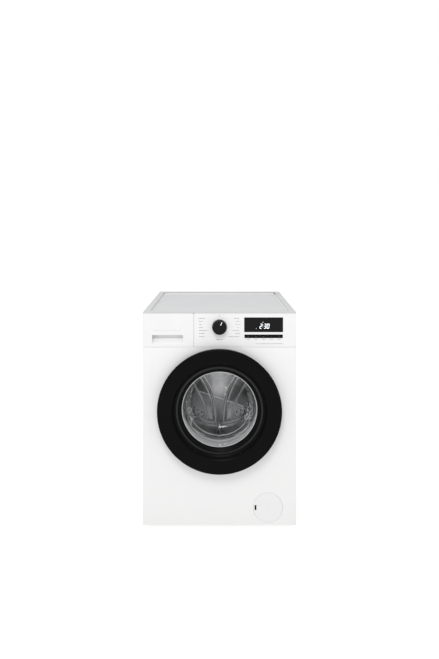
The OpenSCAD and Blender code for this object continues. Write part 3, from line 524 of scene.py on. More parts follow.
@dataclass
class Bench:
    """Makes meshes, dresses them and ties them to their bodies."""

    materials: dict = field(default_factory=dict)

    def material(self, finish: object) -> bpy.types.Material:
        """Build a finish the first time that it is asked for.

        Args:
            finish: Any of the finish classes.

        Returns:
            Its material.
        """
        if finish.name not in self.materials:
            self.materials[finish.name] = finish.build()
        return self.materials[finish.name]

    def dress_frame(self) -> None:
        """Give every CAD node the finish of its slot."""
        for entry in frame["record"]["subparts"]:
            node = frame["nodes"][entry["node"]]
            node.data.materials.clear()
            finish = NODE_FINISHES.get(entry["node"], FINISHES[entry["material_slot"]])
            node.data.materials.append(self.material(finish))

    def piece(self, name: str, shape: "Shape", body: str, slot: str, finish: object = None,
              angle: float = 35.0) -> bpy.types.Object:
        """Turn a shape into a dressed object on a body.

        Args:
            name: Object name.
            shape: Points and faces in metres.
            body: CAD body that it rides on, or an empty name to leave it on no body.
            slot: Record slot for its finish.
            finish: Finish, if not the slot's own.
            angle: Edges sharper than this stay sharp.

        Returns:
            The object.
        """
        mesh = bpy.data.meshes.new(name)
        mesh.from_pydata(shape.points, [], shape.faces)
        face_outward(mesh)
        mesh.shade_smooth()
        mesh.set_sharp_from_angle(angle=math.radians(angle))
        mesh.materials.append(self.material(finish or FINISHES[slot]))
        thing = bpy.data.objects.new(name, mesh)
        bpy.context.scene.collection.objects.link(thing)
        if body:
            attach(thing, body)
        LOG.info("%s: %d faces", name, len(mesh.polygons))
        return thing


@dataclass
class Shape:
    """Points and faces of one mesh."""

    points: list = field(default_factory=list)
    faces: list = field(default_factory=list)

    def add(self, other: "Shape") -> "Shape":
        """Take in another shape.

        Args:
            other: The shape to copy in.

        Returns:
            This shape.
        """
        base = len(self.points)
        self.points += other.points
        self.faces += [tuple(base + i for i in f) for f in other.faces]
        return self

    def placed(self, matrix: Matrix) -> "Shape":
        """Return a copy moved by a matrix."""
        return Shape([tuple(matrix @ Vector(p)) for p in self.points], list(self.faces))


def catmull_rom(before: object, start: object, end: object, after: object, t: float) -> object:
    """Blend from start to end along a smooth curve.

    Args:
        before: Value one knot before start.
        start: Value at t = 0; numbers and vectors both work.
        end: Value at t = 1.
        after: Value one knot after end.
        t: Share of the way, from 0 to 1.

    Returns:
        The value at t.
    """
    square = (2 * before - 5 * start + 4 * end - after) * t * t
    cube = (3 * start - before - 3 * end + after) * t ** 3
    return 0.5 * (2 * start + (end - before) * t + square + cube)


def offset(first: float, second: float, *pairs: Point2) -> list:
    """Place points by their distances in millimetres.

    Args:
        first: What the first numbers are measured from, in metres.
        second: What the second numbers are measured from, in metres.
        pairs: Distances in millimetres.

    Returns:
        Pairs in metres.
    """
    return [(first + u * MM, second + v * MM) for u, v in pairs]


def circle(x: float, z: float, radius: float, count: int, first: float = 0.0) -> list:
    """Space points evenly round a circle.

    Args:
        x: Middle.
        z: Middle.
        radius: Radius.
        count: How many points.
        first: Angle of the first point, in radians.

    Returns:
        Pairs of x and z.
    """
    turns = [first + 2 * math.pi * k / count for k in range(count)]
    return [(x + radius * math.cos(a), z + radius * math.sin(a)) for a in turns]


def smooth_loop(outline: list, closed: bool = True, steps: int = 4) -> list:
    """Round an outline by a Catmull-Rom curve, never past its own extremes.

    Args:
        outline: Pairs of numbers.
        closed: Whether the last point joins the first.
        steps: Points made between two given ones.

    Returns:
        The rounded outline.
    """
    count = len(outline)
    low, high = [[pick(axis) for axis in zip(*outline)] for pick in (min, max)]
    made = []
    for i in range(count if closed else count - 1):
        a, b, c, d = (outline[(i + k) % count] if closed else outline[max(0, min(count - 1, i + k))]
                      for k in (-1, 0, 1, 2))
        for s in range(steps):
            t = s / steps
            spot = [catmull_rom(p, q, r, u, t) for p, q, r, u in zip(a, b, c, d)]
            made.append(tuple(min(max(value, lo), hi) for value, lo, hi in zip(spot, low, high)))
    if not closed:
        made.append(tuple(outline[-1]))
    return made


def skin(rows: int, size: int, closed: bool = False) -> list:
    """Join rows of points, each row a closed ring, by quads.

    Args:
        rows: How many rows.
        size: Points in each row.
        closed: Whether the last row joins the first.

    Returns:
        The faces.
    """
    made = []
    for k in range(rows if closed else rows - 1):
        here, there = k * size, (k + 1) % rows * size
        for i in range(size):
            j = (i + 1) % size
            made.append((here + i, here + j, there + j, there + i))
    return made


def prism(first: list, second: list) -> Shape:
    """Join two like outlines into a closed solid.

    Args:
        first: Points of one end.
        second: Points of the other end, in the same order.

    Returns:
        The solid.
    """
    size = len(first)
    faces = [tuple(range(size)), tuple(range(2 * size - 1, size - 1, -1))]
    faces += [(i, (i + 1) % size, size + (i + 1) % size, size + i) for i in range(size)]
    return Shape(first + second, faces)


def lathe(outline: list, centre: Vector, segments: int = 144) -> Shape:
    """Turn a closed outline of (radius, y) about the Y axis through a centre.

    Args:
        outline: Pairs of radius and y, in metres.
        centre: A point on the axis; only x and z are used.
        segments: Steps round the axis.

    Returns:
        The turned shape.
    """
    points = []
    for k in range(segments):
        a = 2 * math.pi * k / segments
        points += [(centre.x + r * math.cos(a), y, centre.z + r * math.sin(a)) for r, y in outline]
    return Shape(points, skin(segments, len(outline), True))


def slab(outline: list, y0: float, y1: float) -> Shape:
    """Extrude an outline from front to back.

    Args:
        outline: Pairs of x and z.
        y0: Front face.
        y1: Back face.

    Returns:
        The closed slab.
    """
    return prism([(x, y0, z) for x, z in outline], [(x, y1, z) for x, z in outline])


def bar(x0: float, x1: float, z0: float, z1: float, y0: float, y1: float) -> Shape:
    """Make a thin straight bar between two corners."""
    return slab([(x0, z0), (x1, z0), (x1, z1), (x0, z1)], y0, y1)


def tube(path: list, radius: "float | list", sides: int = 14) -> Shape:
    """Sweep a round section along a path, with closed ends.

    Args:
        path: Points of the middle line.
        radius: One radius, or one for each point.
        sides: Sides of the section.

    Returns:
        The tube.
    """
    points, faces = [], []
    spots = [Vector(p) for p in path]
    side = None
    for i, spot in enumerate(spots):
        along = (spots[min(i + 1, len(spots) - 1)] - spots[max(i - 1, 0)]).normalized()
        side = along.orthogonal() if side is None else side - along * side.dot(along)
        side.normalize()
        other = along.cross(side)
        r = radius[i] if isinstance(radius, list) else radius
        points += [tuple(spot + (side * math.cos(2 * math.pi * k / sides)
                                 + other * math.sin(2 * math.pi * k / sides)) * r)
                   for k in range(sides)]
    for i in range(len(spots) - 1):
        faces += [(i * sides + k, (i + 1) * sides + k, (i + 1) * sides + (k + 1) % sides,
                   i * sides + (k + 1) % sides) for k in range(sides)]
    faces.append(tuple(range(sides - 1, -1, -1)))
    faces.append(tuple((len(spots) - 1) * sides + k for k in range(sides)))
    return Shape(points, faces)


def middle(node: str) -> Vector:
    """Return the middle of a node's box."""
    low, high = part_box(node)
    return (low + high) / 2


def ease(value: float) -> float:
    """Smooth step from 0 to 1."""
    value = min(1.0, max(0.0, value))
    return value * value * (3.0 - 2.0 * value)


def carve(thing: bpy.types.Object, cutters: list) -> None:
    """Cut closed shapes out of an object's mesh.

    Args:
        thing: The object to cut.
        cutters: Closed shapes in metres.
    """
    for shape in cutters:
        mesh = bpy.data.meshes.new("cutter")
        mesh.from_pydata(shape.points, [], shape.faces)
        face_outward(mesh)
        tool = bpy.data.objects.new("cutter", mesh)
        bpy.context.scene.collection.objects.link(tool)
        modifier = thing.modifiers.new("carve", "BOOLEAN")
        modifier.object = tool
        modifier.solver = "EXACT"
        graph = bpy.context.evaluated_depsgraph_get()
        result = bpy.data.meshes.new_from_object(thing.evaluated_get(graph))
        thing.modifiers.clear()
        result.set_sharp_from_angle(angle=math.radians(30))
        thing.data = result
        bpy.data.objects.remove(tool)


@dataclass
class Door:
    """The round door: its ring, its bowl and the grip line in the ring."""

    bench: Bench
    centre: Vector = field(default_factory=lambda: middle("door_bezel"))
    radius: float = field(default_factory=lambda: (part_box("door_bezel")[1].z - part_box("door_bezel")[0].z) / 2)
    face: float = field(default_factory=lambda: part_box("door_bezel")[0].y)
    glass_r: float = field(default_factory=lambda: (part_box("door_glass")[1].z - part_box("door_glass")[0].z) / 2
                           - 16 * MM)
    bowl_end: float = field(default_factory=lambda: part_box("door_glass")[1].y)
    grip_lines: Point2 = (223.5 * MM, 231 * MM)
    lip_band: Point2 = (160.2 * MM, 167.5 * MM)

    def hinge_room(self) -> list:
        """Find the room that the hinge needs at the ring's left edge.

        Returns:
            Boxes to cut away.
        """
        low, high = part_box("hinge_bracket")
        pin = middle("hinge_pin")
        z0, z1 = low.z - 3 * MM, high.z + 3 * MM
        return [bar(pin.x - 20 * MM, pin.x + 7.5 * MM, z0, z1, pin.y - 7.5 * MM, FRONT + 2 * MM),
                bar(pin.x - 5 * MM, pin.x + 46 * MM, z0, z1, pin.y - 6.5 * MM, FRONT + 2 * MM)]

    def grip_arc(self, radius: float) -> Shape:
        """Draw a thin groove over the grip, at the upper right.

        Args:
            radius: Distance from the door's middle.

        Returns:
            The groove, to cut away.
        """
        start, stop, steps, half = math.radians(20), math.radians(68), 40, 0.45 * MM
        turn = [start + (stop - start) * k / steps for k in range(steps + 1)]
        edges = [(radius + half, a) for a in turn] + [(radius - half, a) for a in reversed(turn)]
        outline = [(self.centre.x + r * math.cos(a), self.centre.z + r * math.sin(a)) for r, a in edges]
        return slab(outline, self.face - MM, self.face + 0.9 * MM)

    def build_ring(self) -> None:
        """Make the black ring with its rolled outer edge and inner lip."""
        r, f, g = self.radius, self.face, self.glass_r
        visible = offset(r, FRONT, (-10, -5.4), (-7, -12))
        visible += offset(r, f, (-3, 13), (0, 6), (-0.5, 3), (-2.4, 0.9), (-5, 0.1), (-9, 0))
        visible += offset(0.0, f, (200, 0), (189, 0.1), (185.5, 1), (181.5, 4.4), (176.5, 12.4), (172, 17),
                          (167.5, 18.6), (163.5, 18), (160.5, 17.2), (158, 18.4), (155.5, 21.4))
        visible += offset(g, FRONT, (3, -8.6), (1, -6.6))
        back = offset(g, FRONT, (1, -4), (4, -4))
        back += offset(0.0, f, (160, 22.5), (172, 21.5), (179, 15.5), (184, 6.5), (188, 3))
        back += offset(r, f, (-5, 3), (-3, 5), (-6, 13)) + offset(r, FRONT, (-13, -7))
        ring = self.bench.piece("door_ring", lathe(smooth_loop(visible, False, 3) + back, self.centre, 192),
                                "door", "black_gloss", angle=28)
        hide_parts("door_bezel")
        carve(ring, self.hinge_room() + [self.grip_arc(line) for line in self.grip_lines])
        ring.data.materials.append(self.bench.material(LIP_GLOSS))
        for face in ring.data.polygons:
            out = math.hypot(face.center.x - self.centre.x, face.center.z - self.centre.z)
            on_lip = self.lip_band[0] < out < self.lip_band[1] and face.center.y > f + 14 * MM
            face.material_index = 1 if on_lip else 0

    def facet_height(self, x: float, y: float) -> float:
        """Find the height of the slanted flat on the bowl's top.

        Args:
            x: Place across the bowl.
            y: Place along its depth.

        Returns:
            Height at that place.
        """
        start = 0.014
        run = max(0.0, y - FRONT - start) / (self.bowl_end - FRONT - start)
        return self.centre.z + 0.134 - run * (0.132 + 0.35 * x)

    def build_bowl(self) -> None:
        """Make the pressed glass bowl with a slanted flat on its top, with painted highlight lines and a painted
        shade line in the glass.
        """
        g = self.glass_r
        end = self.bowl_end
        outer = offset(g, FRONT, (16, 0.6), (4, 0.8), (-5, 2), (-9, 20), (-16, 50))
        outer += offset(g, end, (-26, -18), (-34, -7), (-48, -0.6), (-70, -0.1))
        outer += offset(0.0, end, (30, 0), (0.4, 0))
        inner = offset(0.0, end, (0.4, -5), (30, -5))
        inner += offset(g, end, (-70, -5), (-50, -5.4), (-38, -11), (-31, -20))
        inner += offset(g, FRONT, (-21, 49), (-14, 18), (-9.6, 1), (-8, -2), (-4, -3.3), (16, -3.4))
        shape = lathe(smooth_loop(outer, False, 4) + smooth_loop(inner, False, 4), self.centre, 144)
        pressed = []
        for x, y, z in shape.points:
            if y > FRONT + 14 * MM:
                inside = Vector((x, 0, z - self.centre.z)).length < g - 9 * MM and y < end - 4 * MM
                step = 5 * MM if inside else 0.0
                z = min(z, self.facet_height(x, y + step) - step)
            pressed.append((x, y, z))
        shape.points = pressed
        bowl = self.bench.piece("glass_bowl", shape, "door", "door_glass", angle=50)
        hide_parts("door_glass")
        # Painted highlight: a near-white tube round the glass rim.
        rim = circle(g - 0.6 * MM, FRONT - 5.2 * MM, 1.1 * MM, 8)
        self.bench.piece("painted_rim_highlight", lathe(rim, self.centre, 144), "door", "door_glass", PAINTED_EDGE_HIGHLIGHT)
        # Painted highlight: a near-white tube along the edge of the slanted flat.
        crease = [(x, end - 3 * MM, self.facet_height(x, end - 3 * MM) - 1 * MM)
                  for x in (-0.096 + 0.192 * k / 24 for k in range(25))]
        self.bench.piece("painted_crease_highlight", tube(crease, 1.2 * MM, 8), "door", "door_glass", PAINTED_EDGE_HIGHLIGHT)
        # Painted highlights: two near-white lines low in the bowl.
        bright = Shape()
        bright.add(self.trace_painted_line(g - 11.6 * MM, FRONT + 19 * MM, 65))
        bright.add(self.trace_painted_line(g - 18.5 * MM, FRONT + 50 * MM, 80))
        self.bench.piece("painted_bowl_highlights", bright, "door", "door_glass", PAINTED_EDGE_HIGHLIGHT)
        # Painted highlight: two thin sheets in the bowl's side wall carry painted glints.
        glints = Shape()
        for turn in (165, 15):
            glints.add(self.side_band(turn, 48))
        self.bench.piece("painted_side_glints", glints, "door", "door_glass", PAINTED_GLASS_SPARKLE)
        # Painted shade: a dark tube between the two painted highlight lines.
        dark = self.trace_painted_line(g - 14.6 * MM, FRONT + 33 * MM, 60, 1.9 * MM)
        self.bench.piece("painted_shade_line", dark, "door", "door_glass", Moulded("painted_shade_line", 0.12, 0.4, 0.1))

    def side_band(self, turn: float, reach: float) -> Shape:
        """Make a thin sheet inside the bowl's side wall, round one direction, to carry the painted glints.

        Args:
            turn: Direction of its middle, in degrees.
            reach: Half its width, in degrees.

        Returns:
            A closed sheet 0.4 mm thick.
        """
        g, steps = self.glass_r, 36
        profile = offset(g, FRONT, (-12.3, 21), (-18.3, 50)) + offset(g, self.bowl_end, (-28, -20))
        outline = profile + [(r - 0.4 * MM, y) for r, y in reversed(profile)]
        shape, n = Shape(), len(outline)
        for k in range(steps + 1):
            a = math.radians(turn - reach + 2 * reach * k / steps)
            shape.points += [(self.centre.x + r * math.cos(a), y, self.centre.z + r * math.sin(a))
                             for r, y in outline]
        shape.faces += skin(steps + 1, n)
        shape.faces += [tuple(reversed(range(n))), tuple(steps * n + i for i in range(n))]
        return shape

    def trace_painted_line(self, radius: float, y: float, spread: float, thick: float = 1.1 * MM) -> Shape:
        """Trace one line along the lower half of the bowl; these tubes carry the painted highlights and the
        painted shade line in the glass.

        Args:
            radius: Distance from the bowl's middle.
            y: Depth of the line.
            spread: How far it reaches to either side of the bottom, in degrees.
            thick: Radius of the line at its middle.

        Returns:
            A tube that thins out to its ends.
        """
        half, taper = 32, 1.4
        shares = [k / half for k in range(-half, half + 1)]
        turn = [math.radians(-90 + spread * share) for share in shares]
        path = [(self.centre.x + radius * math.cos(a), y, self.centre.z + radius * math.sin(a)) for a in turn]
        return tube(path, [thick * math.cos(share * taper) ** 0.5 for share in shares], 8)


@dataclass
class Gasket:
    """The rubber bellows in the port hole, with the wire that clamps it to the tub."""

    bench: Bench
    centre: Vector = field(default_factory=lambda: middle("door_gasket"))

    def build(self) -> None:
        """Make the bellows, fix its points where they stand, and lay its wire on the tub."""
        low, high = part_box("door_gasket")
        y0, y1 = low.y, high.y
        outline = offset(0.0, y0, (152, 6), (151.2, 7.6), (152, 9), (157, 10.6), (160, 12.5), (161, 24),
                         (160.6, 37), (155, 41), (151, 47), (151, 56))
        outline += offset(0.0, y1, (151, 0), (160, 0), (160, -3), (155.6, -3.4))
        outline += offset(0.0, y0, (155, 50), (159, 44), (164.4, 39), (164.5, 24), (164, 12), (164, 0),
                          (160.4, 0), (160, 5.5))
        bellows = self.bench.piece("gasket_bellows", lathe(smooth_loop(outline, True, 3), self.centre, 144),
                                   "", "grey_rubber", Rubber("gasket_rubber", 0.34), 50)
        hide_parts("door_gasket")
        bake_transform(bellows)
        wire = circle(168.4 * MM, y1 - 8 * MM, 1.3 * MM, 8)
        self.bench.piece("tub_clamp_wire", lathe(wire, self.centre, 96), "tub", "spring_steel")


@dataclass
class Drum:
    """The stainless drum: perforated wall, rolled lip, pressed back and lifters."""

    bench: Bench
    centre: Vector = field(default_factory=lambda: middle("drum_shell"))
    around: int = 120
    rows: int = 24
    hole: float = 3.4 * MM
    arm_edge: Point2 = (14 * MM, 50 * MM)
    petal_edge: Point2 = (47 * MM, 62 * MM)

    def wall(self, radius: float, y0: float, y1: float) -> Shape:
        """Make the perforated wall as staggered cells with a round hole in each.

        Args:
            radius: Radius of the sheet.
            y0: Front edge.
            y1: Rear edge.

        Returns:
            One layer of sheet.
        """
        shape = Shape()
        pitch, step = (y1 - y0) / self.rows, 2 * math.pi / self.around
        ring = [(-1, -1), (0, -1), (1, -1), (1, 0), (1, 1), (0, 1), (-1, 1), (-1, 0)]
        for j in range(self.rows):
            for k in range(self.around):
                y, a = y0 + pitch * (j + 0.5), step * (k + 0.5 * (j % 2))
                base = len(shape.points)
                for u, v in ring:
                    b = a + u * step / 2
                    shape.points.append((self.centre.x + radius * math.cos(b), y + v * pitch / 2,
                                         self.centre.z + radius * math.sin(b)))
                for u, v in ring:
                    size = math.hypot(u, v)
                    b = a + self.hole * u / size / radius
                    shape.points.append((self.centre.x + radius * math.cos(b), y + self.hole * v / size,
                                         self.centre.z + radius * math.sin(b)))
                shape.faces += [(base + i, base + (i + 1) % 8, base + 8 + (i + 1) % 8, base + 8 + i)
                                for i in range(8)]
        return shape

    def build_wall(self) -> None:
        """Make the wall, the rolled lip and the pressed back."""
        low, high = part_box("drum_shell")
        r = (high.z - low.z) / 2
        wall = self.bench.piece("drum_wall", self.wall(r - 0.4 * MM, low.y + 12 * MM, high.y - 3 * MM),
                                "drum", "drum_steel")
        face_outward(wall.data, 0.02 * MM)
        thick = wall.modifiers.new("sheet", "SOLIDIFY")
        thick.thickness = 0.8 * MM
        thick.offset = 0.0
        lip = offset(r, low.y, (-0.2, 12), (-0.4, 8), (-4, 2), (-12, 0))
        lip += offset(0.0, low.y, (200, 0.3), (190, 3), (180, 3.4), (166, 0.8), (161, 0), (158.4, 2),
                      (158, 7), (159.2, 8), (160, 3), (166, 2), (180, 4.8), (190, 4.4), (200, 1.6))
        lip += offset(r, low.y, (-12, 1.4), (-5, 3), (-1.8, 8.4), (-1.4, 12))
        front = self.bench.piece("drum_lip", lathe(smooth_loop(lip, True, 3), self.centre, 144),
                                 "drum", "drum_steel", Steel("lip_steel", 0.74, 0.22), 60)
        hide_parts("drum_shell")
        back = self.bench.piece("drum_back", self.pressed_back(r - 0.9 * MM, high.y), "drum", "drum_steel",
                                Steel("back_steel", 0.46, 0.24, Grain.ALONG_Z, relief=0.015), 60)
        LOG.info("drum: %s, %s and %s", wall.name, front.name, back.name)

    def petal_level(self, across: float, up: float, apex: float) -> float:
        """Measure how far a point of the back lies inside its petal.

        Args:
            across: Place to the right of the axis.
            up: Place above the axis.
            apex: Rounding of the petal's tip.

        Returns:
            Distance from the arms' middle lines.
        """
        local = math.remainder(math.atan2(up, across) - math.radians(90), math.radians(120))
        r = math.hypot(across, up)
        aside = abs(r * math.sin(local)) * math.cos(math.radians(60))
        return r * math.cos(local) * math.sin(math.radians(60)) - (aside ** 3 + apex ** 3) ** (1 / 3)

    def press(self, across: float, up: float, radius: float) -> float:
        """Find how far the back is pressed forward at a point.

        Args:
            across: Place to the right of the axis.
            up: Place above the axis.
            radius: Radius of the back.

        Returns:
            Height of the pressing.
        """
        fade = ease((radius - 12 * MM - math.hypot(across, up)) / (14 * MM))
        edge, apex = self.arm_edge
        step = 8 * MM * ease((self.petal_level(across, up, apex) - edge + 5 * MM) / (12 * MM))
        edge, apex = self.petal_edge
        step -= 5 * MM * ease((self.petal_level(across, up, apex) - edge + 5 * MM) / (12 * MM))
        return step * fade

    def pressed_back(self, radius: float, y: float) -> Shape:
        """Make the closed back plate, pressed forward between the spider's arms.

        Args:
            radius: Radius of the plate.
            y: Its rear face.

        Returns:
            The plate.
        """
        rings, turns = 56, 180
        shape = Shape()
        for layer in (0.0, 0.9 * MM):
            for i in range(rings + 1):
                r = radius * max(i / rings, 0.002)
                for k in range(turns):
                    a = 2 * math.pi * k / turns
                    across, up = r * math.cos(a), r * math.sin(a)
                    depth = y - 1.0 * MM - self.press(across, up, radius) + layer
                    shape.points.append((self.centre.x + across, depth, self.centre.z + up))
        size = (rings + 1) * turns
        for quad in skin(rings + 1, turns):
            shape.faces += [quad, tuple(size + q for q in reversed(quad))]
        edge = rings * turns
        for k in range(turns):
            m = (k + 1) % turns
            shape.faces.append((edge + k, edge + m, size + edge + m, size + edge + k))
            shape.faces.append((k, m, size + m, size + k))
        return shape

    def petal_line(self, edge: Point2, turn: float, radius: float, y: float) -> list:
        """Points of one bead that runs round a petal.

        Args:
            edge: Distance inside the arms' middle lines, and the tip's rounding.
            turn: Direction of the petal's middle, in radians.
            radius: Radius of the back.
            y: Rear face of the back.

        Returns:
            Points on the front of the back.
        """
        out, side = (math.cos(turn), math.sin(turn)), (-math.sin(turn), math.cos(turn))
        line, limit = [], radius - 14 * MM
        for k in range(-60, 61):
            v = limit * k / 60
            aside = abs(v) * math.cos(math.radians(60))
            u = (edge[0] + (aside ** 3 + edge[1] ** 3) ** (1 / 3)) / math.sin(math.radians(60))
            across, up = out[0] * u + side[0] * v, out[1] * u + side[1] * v
            if math.hypot(u, v) < limit:
                depth = y - 1.6 * MM - self.press(across, up, radius)
                line.append((self.centre.x + across, depth, self.centre.z + up))
        return line

    def build_beads(self) -> None:
        """Lay white tubes round the petals as painted highlights on the pressed beads, and black slabs as painted
        shade in the slots near the rim.
        """
        low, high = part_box("drum_shell")
        r = (high.z - low.z) / 2 - 0.9 * MM
        beads, slots = Shape(), Shape()
        edge, apex = self.petal_edge
        for turn in (math.radians(90 + 120 * k) for k in range(3)):
            for line in (self.arm_edge, self.petal_edge):
                beads.add(tube(self.petal_line(line, turn, r, high.y), 3.8 * MM, 10))
            for ring, count in ((0.196, 12), (0.211, 13), (0.226, 14)):
                for k in range(count):
                    a = turn + math.radians(6.4 * (k - (count - 1) / 2))
                    across, up = ring * math.cos(a), ring * math.sin(a)
                    if self.petal_level(across, up, apex) < edge + 8 * MM:
                        continue
                    y = high.y - 1.25 * MM - self.press(across, up, r)
                    rim = [(p + math.copysign(3 * MM, p), q)
                           for p, q in circle(0.0, 0.0, 2.4 * MM, 12, math.pi / 12)]
                    slots.add(slab([(self.centre.x + across + p * math.cos(a) - q * math.sin(a),
                                     self.centre.z + up + p * math.sin(a) + q * math.cos(a)) for p, q in rim],
                                   y, y + 0.9 * MM))
        # Painted highlight: the bead tubes are near-white, not steel.
        self.bench.piece("back_bead_highlights", beads, "drum", "drum_steel", PAINTED_BEAD_HIGHLIGHT)
        # Painted shade: solid black slabs where the slots would show darkness.
        self.bench.piece("back_slots", slots, "drum", "drum_steel", PAINTED_SLOT_SHADE)

    def build_lifters(self) -> None:
        """Make three leaf shaped lifters with rounded crests."""
        low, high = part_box("drum_shell")
        r = (high.z - low.z) / 2 - 4.6 * MM
        y0, y1, steps = low.y + 18 * MM, high.y - 18 * MM, 30
        half_section = [(-1.0, 0.0), (-0.9, 0.05), (-0.62, 0.3), (-0.36, 0.66), (-0.2, 0.92), (-0.08, 1.0)]
        section = half_section + [(-u, v) for u, v in reversed(half_section)]
        shape = Shape()
        for turn in range(3):
            a = math.radians(120 * turn - 90)
            out, side = Vector((math.cos(a), 0, math.sin(a))), Vector((-math.sin(a), 0, math.cos(a)))
            one = Shape()
            for j in range(steps + 1):
                t = j / steps
                swell = math.sin(math.pi * min(max(t, 0.015), 0.985)) ** 0.45
                y = y0 + (y1 - y0) * t
                for u, v in section:
                    spot = self.centre + out * (r - 44 * MM * swell * v) + side * (31 * MM * swell * u)
                    one.points.append((spot.x, y, spot.z))
            n = len(section)
            one.faces += skin(steps + 1, n)
            one.faces += [tuple(range(n)), tuple(steps * n + i for i in reversed(range(n)))]
            shape.add(one)
        lifters = self.bench.piece("lifters", shape, "drum", "drum_steel",
                                   Steel("lifter_steel", 0.76, 0.2), 70)
        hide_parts("drum_lifters")


@dataclass
class Controls:
    """Prints on the fascia, the lit digits, the knob's pointer and the key marks."""

    bench: Bench
    knob: Vector = field(default_factory=lambda: middle("program_knob"))
    window: Vector = field(default_factory=lambda: middle("display_window"))
    rows: int = 7
    row_pitch: float = 11.7 * MM

    def ink(self, x0: float, x1: float, z0: float, z1: float, y: float = FRONT) -> Shape:
        """A printed bar that lies on a front face."""
        return bar(x0, x1, z0, z1, y - PRINT_OUT, y + PRINT_IN)

    def words(self, rng: random.Random, x: float, z: float, length: float, height: float) -> Shape:
        """A row of short bars that stands for one line of generic print.

        Args:
            rng: Seeded source of word lengths.
            x: Left end.
            z: Middle height.
            length: Whole length.
            height: Height of the bars.

        Returns:
            The bars.
        """
        shape, at = Shape(), x
        while at < x + length - height:
            word = min(rng.uniform(4.0, 9.0) * MM, x + length - at)
            glyph = at
            while glyph < at + word - 0.5 * MM:
                tall = height * rng.choice((0.7, 0.7, 1.0))
                shape.add(self.ink(glyph, glyph + 0.85 * MM, z - height * 0.35, z - height * 0.35 + tall))
                glyph += 1.35 * MM
            at += word + 1.6 * MM
        return shape

    def build_legends(self) -> None:
        """Print the program rows, the leader lines to the knob and the small labels."""
        rng = random.Random(11)
        text, lines, accents = Shape(), Shape(), Shape()
        middle_z, reach, edge, halo = self.knob.z - 2 * MM, (self.rows - 1) / 2, 79 * MM, 37 * MM
        lengths = {-1: (26, 12, 12, 17, 32, 23, 20), 1: (21, 14, 16, 8, 28, 18, 44)}
        for row in range(self.rows):
            z = middle_z + (reach - row) * self.row_pitch
            drop = z - self.knob.z
            clear = math.sqrt(max(halo * halo - drop * drop, (12 * MM) ** 2))
            for side in (-1, 1):
                length = lengths[side][row] * MM
                start = self.knob.x + side * edge - (length if side > 0 else 0.0)
                text.add(self.words(rng, start, z, length, 3.0 * MM))
                inner = self.knob.x + side * (edge - length - 2 * MM)
                x0, x1 = sorted((inner, self.knob.x + side * clear))
                if side * (inner - self.knob.x) > clear + 2 * MM:
                    lines.add(self.ink(x0, x1, z - 0.18 * MM, z + 0.18 * MM))
        for side, first in ((-1, 0), (1, 1)):
            z1 = middle_z + (reach - first) * self.row_pitch + 4.4 * MM
            x = self.knob.x + side * 82 * MM
            accents.add(self.ink(x - 0.3 * MM, x + 0.3 * MM, z1 - 2 * self.row_pitch + 3 * MM, z1))
        top, base = middle_z + 45 * MM, middle_z - 47 * MM
        turns = [math.radians(60 - 300 * k / 24) for k in range(25)]
        ring = [(2.6 * MM * math.cos(a), 2.6 * MM * math.sin(a)) for a in turns]
        arc = [(self.knob.x + x, top + z) for x, z in ring]
        arc += [(self.knob.x + x * 0.78, top + z * 0.78) for x, z in reversed(ring)]
        text.add(slab(arc, FRONT - PRINT_OUT, FRONT + PRINT_IN))
        text.add(self.ink(self.knob.x - 0.3 * MM, self.knob.x + 0.3 * MM, top + 0.6 * MM, top + 3.6 * MM))
        text.add(self.words(rng, self.knob.x - 12 * MM, base, 24 * MM, 2.6 * MM))
        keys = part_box("key_1")[0].z
        for index in range(1, 6):
            x = middle(f"key_{index}").x
            text.add(self.words(rng, x - 6 * MM, keys - 5.5 * MM, 12 * MM, 2.2 * MM))
        text.add(self.words(rng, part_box("key_5")[1].x - 104 * MM, keys - 22 * MM, 104 * MM, 2.2 * MM))
        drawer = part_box("drawer_front")
        self.bench.piece("program_print", text, "cabinet", "white_plastic", LEGEND_INK)
        self.bench.piece("leader_lines", lines, "cabinet", "white_plastic", PALE_INK)
        self.bench.piece("accent_marks", accents, "cabinet", "white_plastic", ACCENT_INK)
        badge = self.words(rng, drawer[0].x + 44 * MM, drawer[1].z - 67 * MM, 106 * MM, 2.8 * MM)
        self.bench.piece("drawer_print", badge, "drawer", "white_plastic", PALE_INK)

    def build_liners(self) -> None:
        """Put a grey skin on the grip's left wall as painted shade, and put pale strips behind the two seams."""
        drawer, fascia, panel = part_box("drawer_front"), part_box("control_fascia"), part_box("front_panel")
        seams = bar(drawer[1].x + 0.3 * MM, fascia[0].x - 0.3 * MM, drawer[0].z, drawer[1].z - 2 * MM,
                    FRONT + 1.2 * MM, FRONT + 3 * MM)
        seams.add(bar(panel[0].x + 2 * MM, panel[1].x - 2 * MM,
                      panel[1].z + 0.15 * MM, fascia[0].z - 0.15 * MM,
                      FRONT + 1.2 * MM, FRONT + 3 * MM))
        self.bench.piece("seam_liners", seams, "cabinet", "white_plastic")
        openings = frame["record"]["physics"]["openings"]
        low, high = next(o["box_m"] for o in openings if o["name"] == "drawer_grip")
        x0, z1 = low[0] - 0.4 * MM, high[2] + 0.6 * MM
        wedge = [(FRONT + 0.6 * MM, low[2] + 1.6 * MM), (FRONT + 14 * MM, low[2] + 12 * MM),
                 (FRONT + 19.4 * MM, low[2] + 22 * MM), (FRONT + 19.4 * MM, z1), (FRONT + 0.6 * MM, z1)]
        # Painted shade: a thin grey skin over the grip's left wall.
        cheek = prism([(x0, y, z) for y, z in wedge], [(x0 + 0.5 * MM, y, z) for y, z in wedge])
        self.bench.piece("grip_painted_shade", cheek, "drawer", "white_plastic", PAINTED_SHADE_GREY)

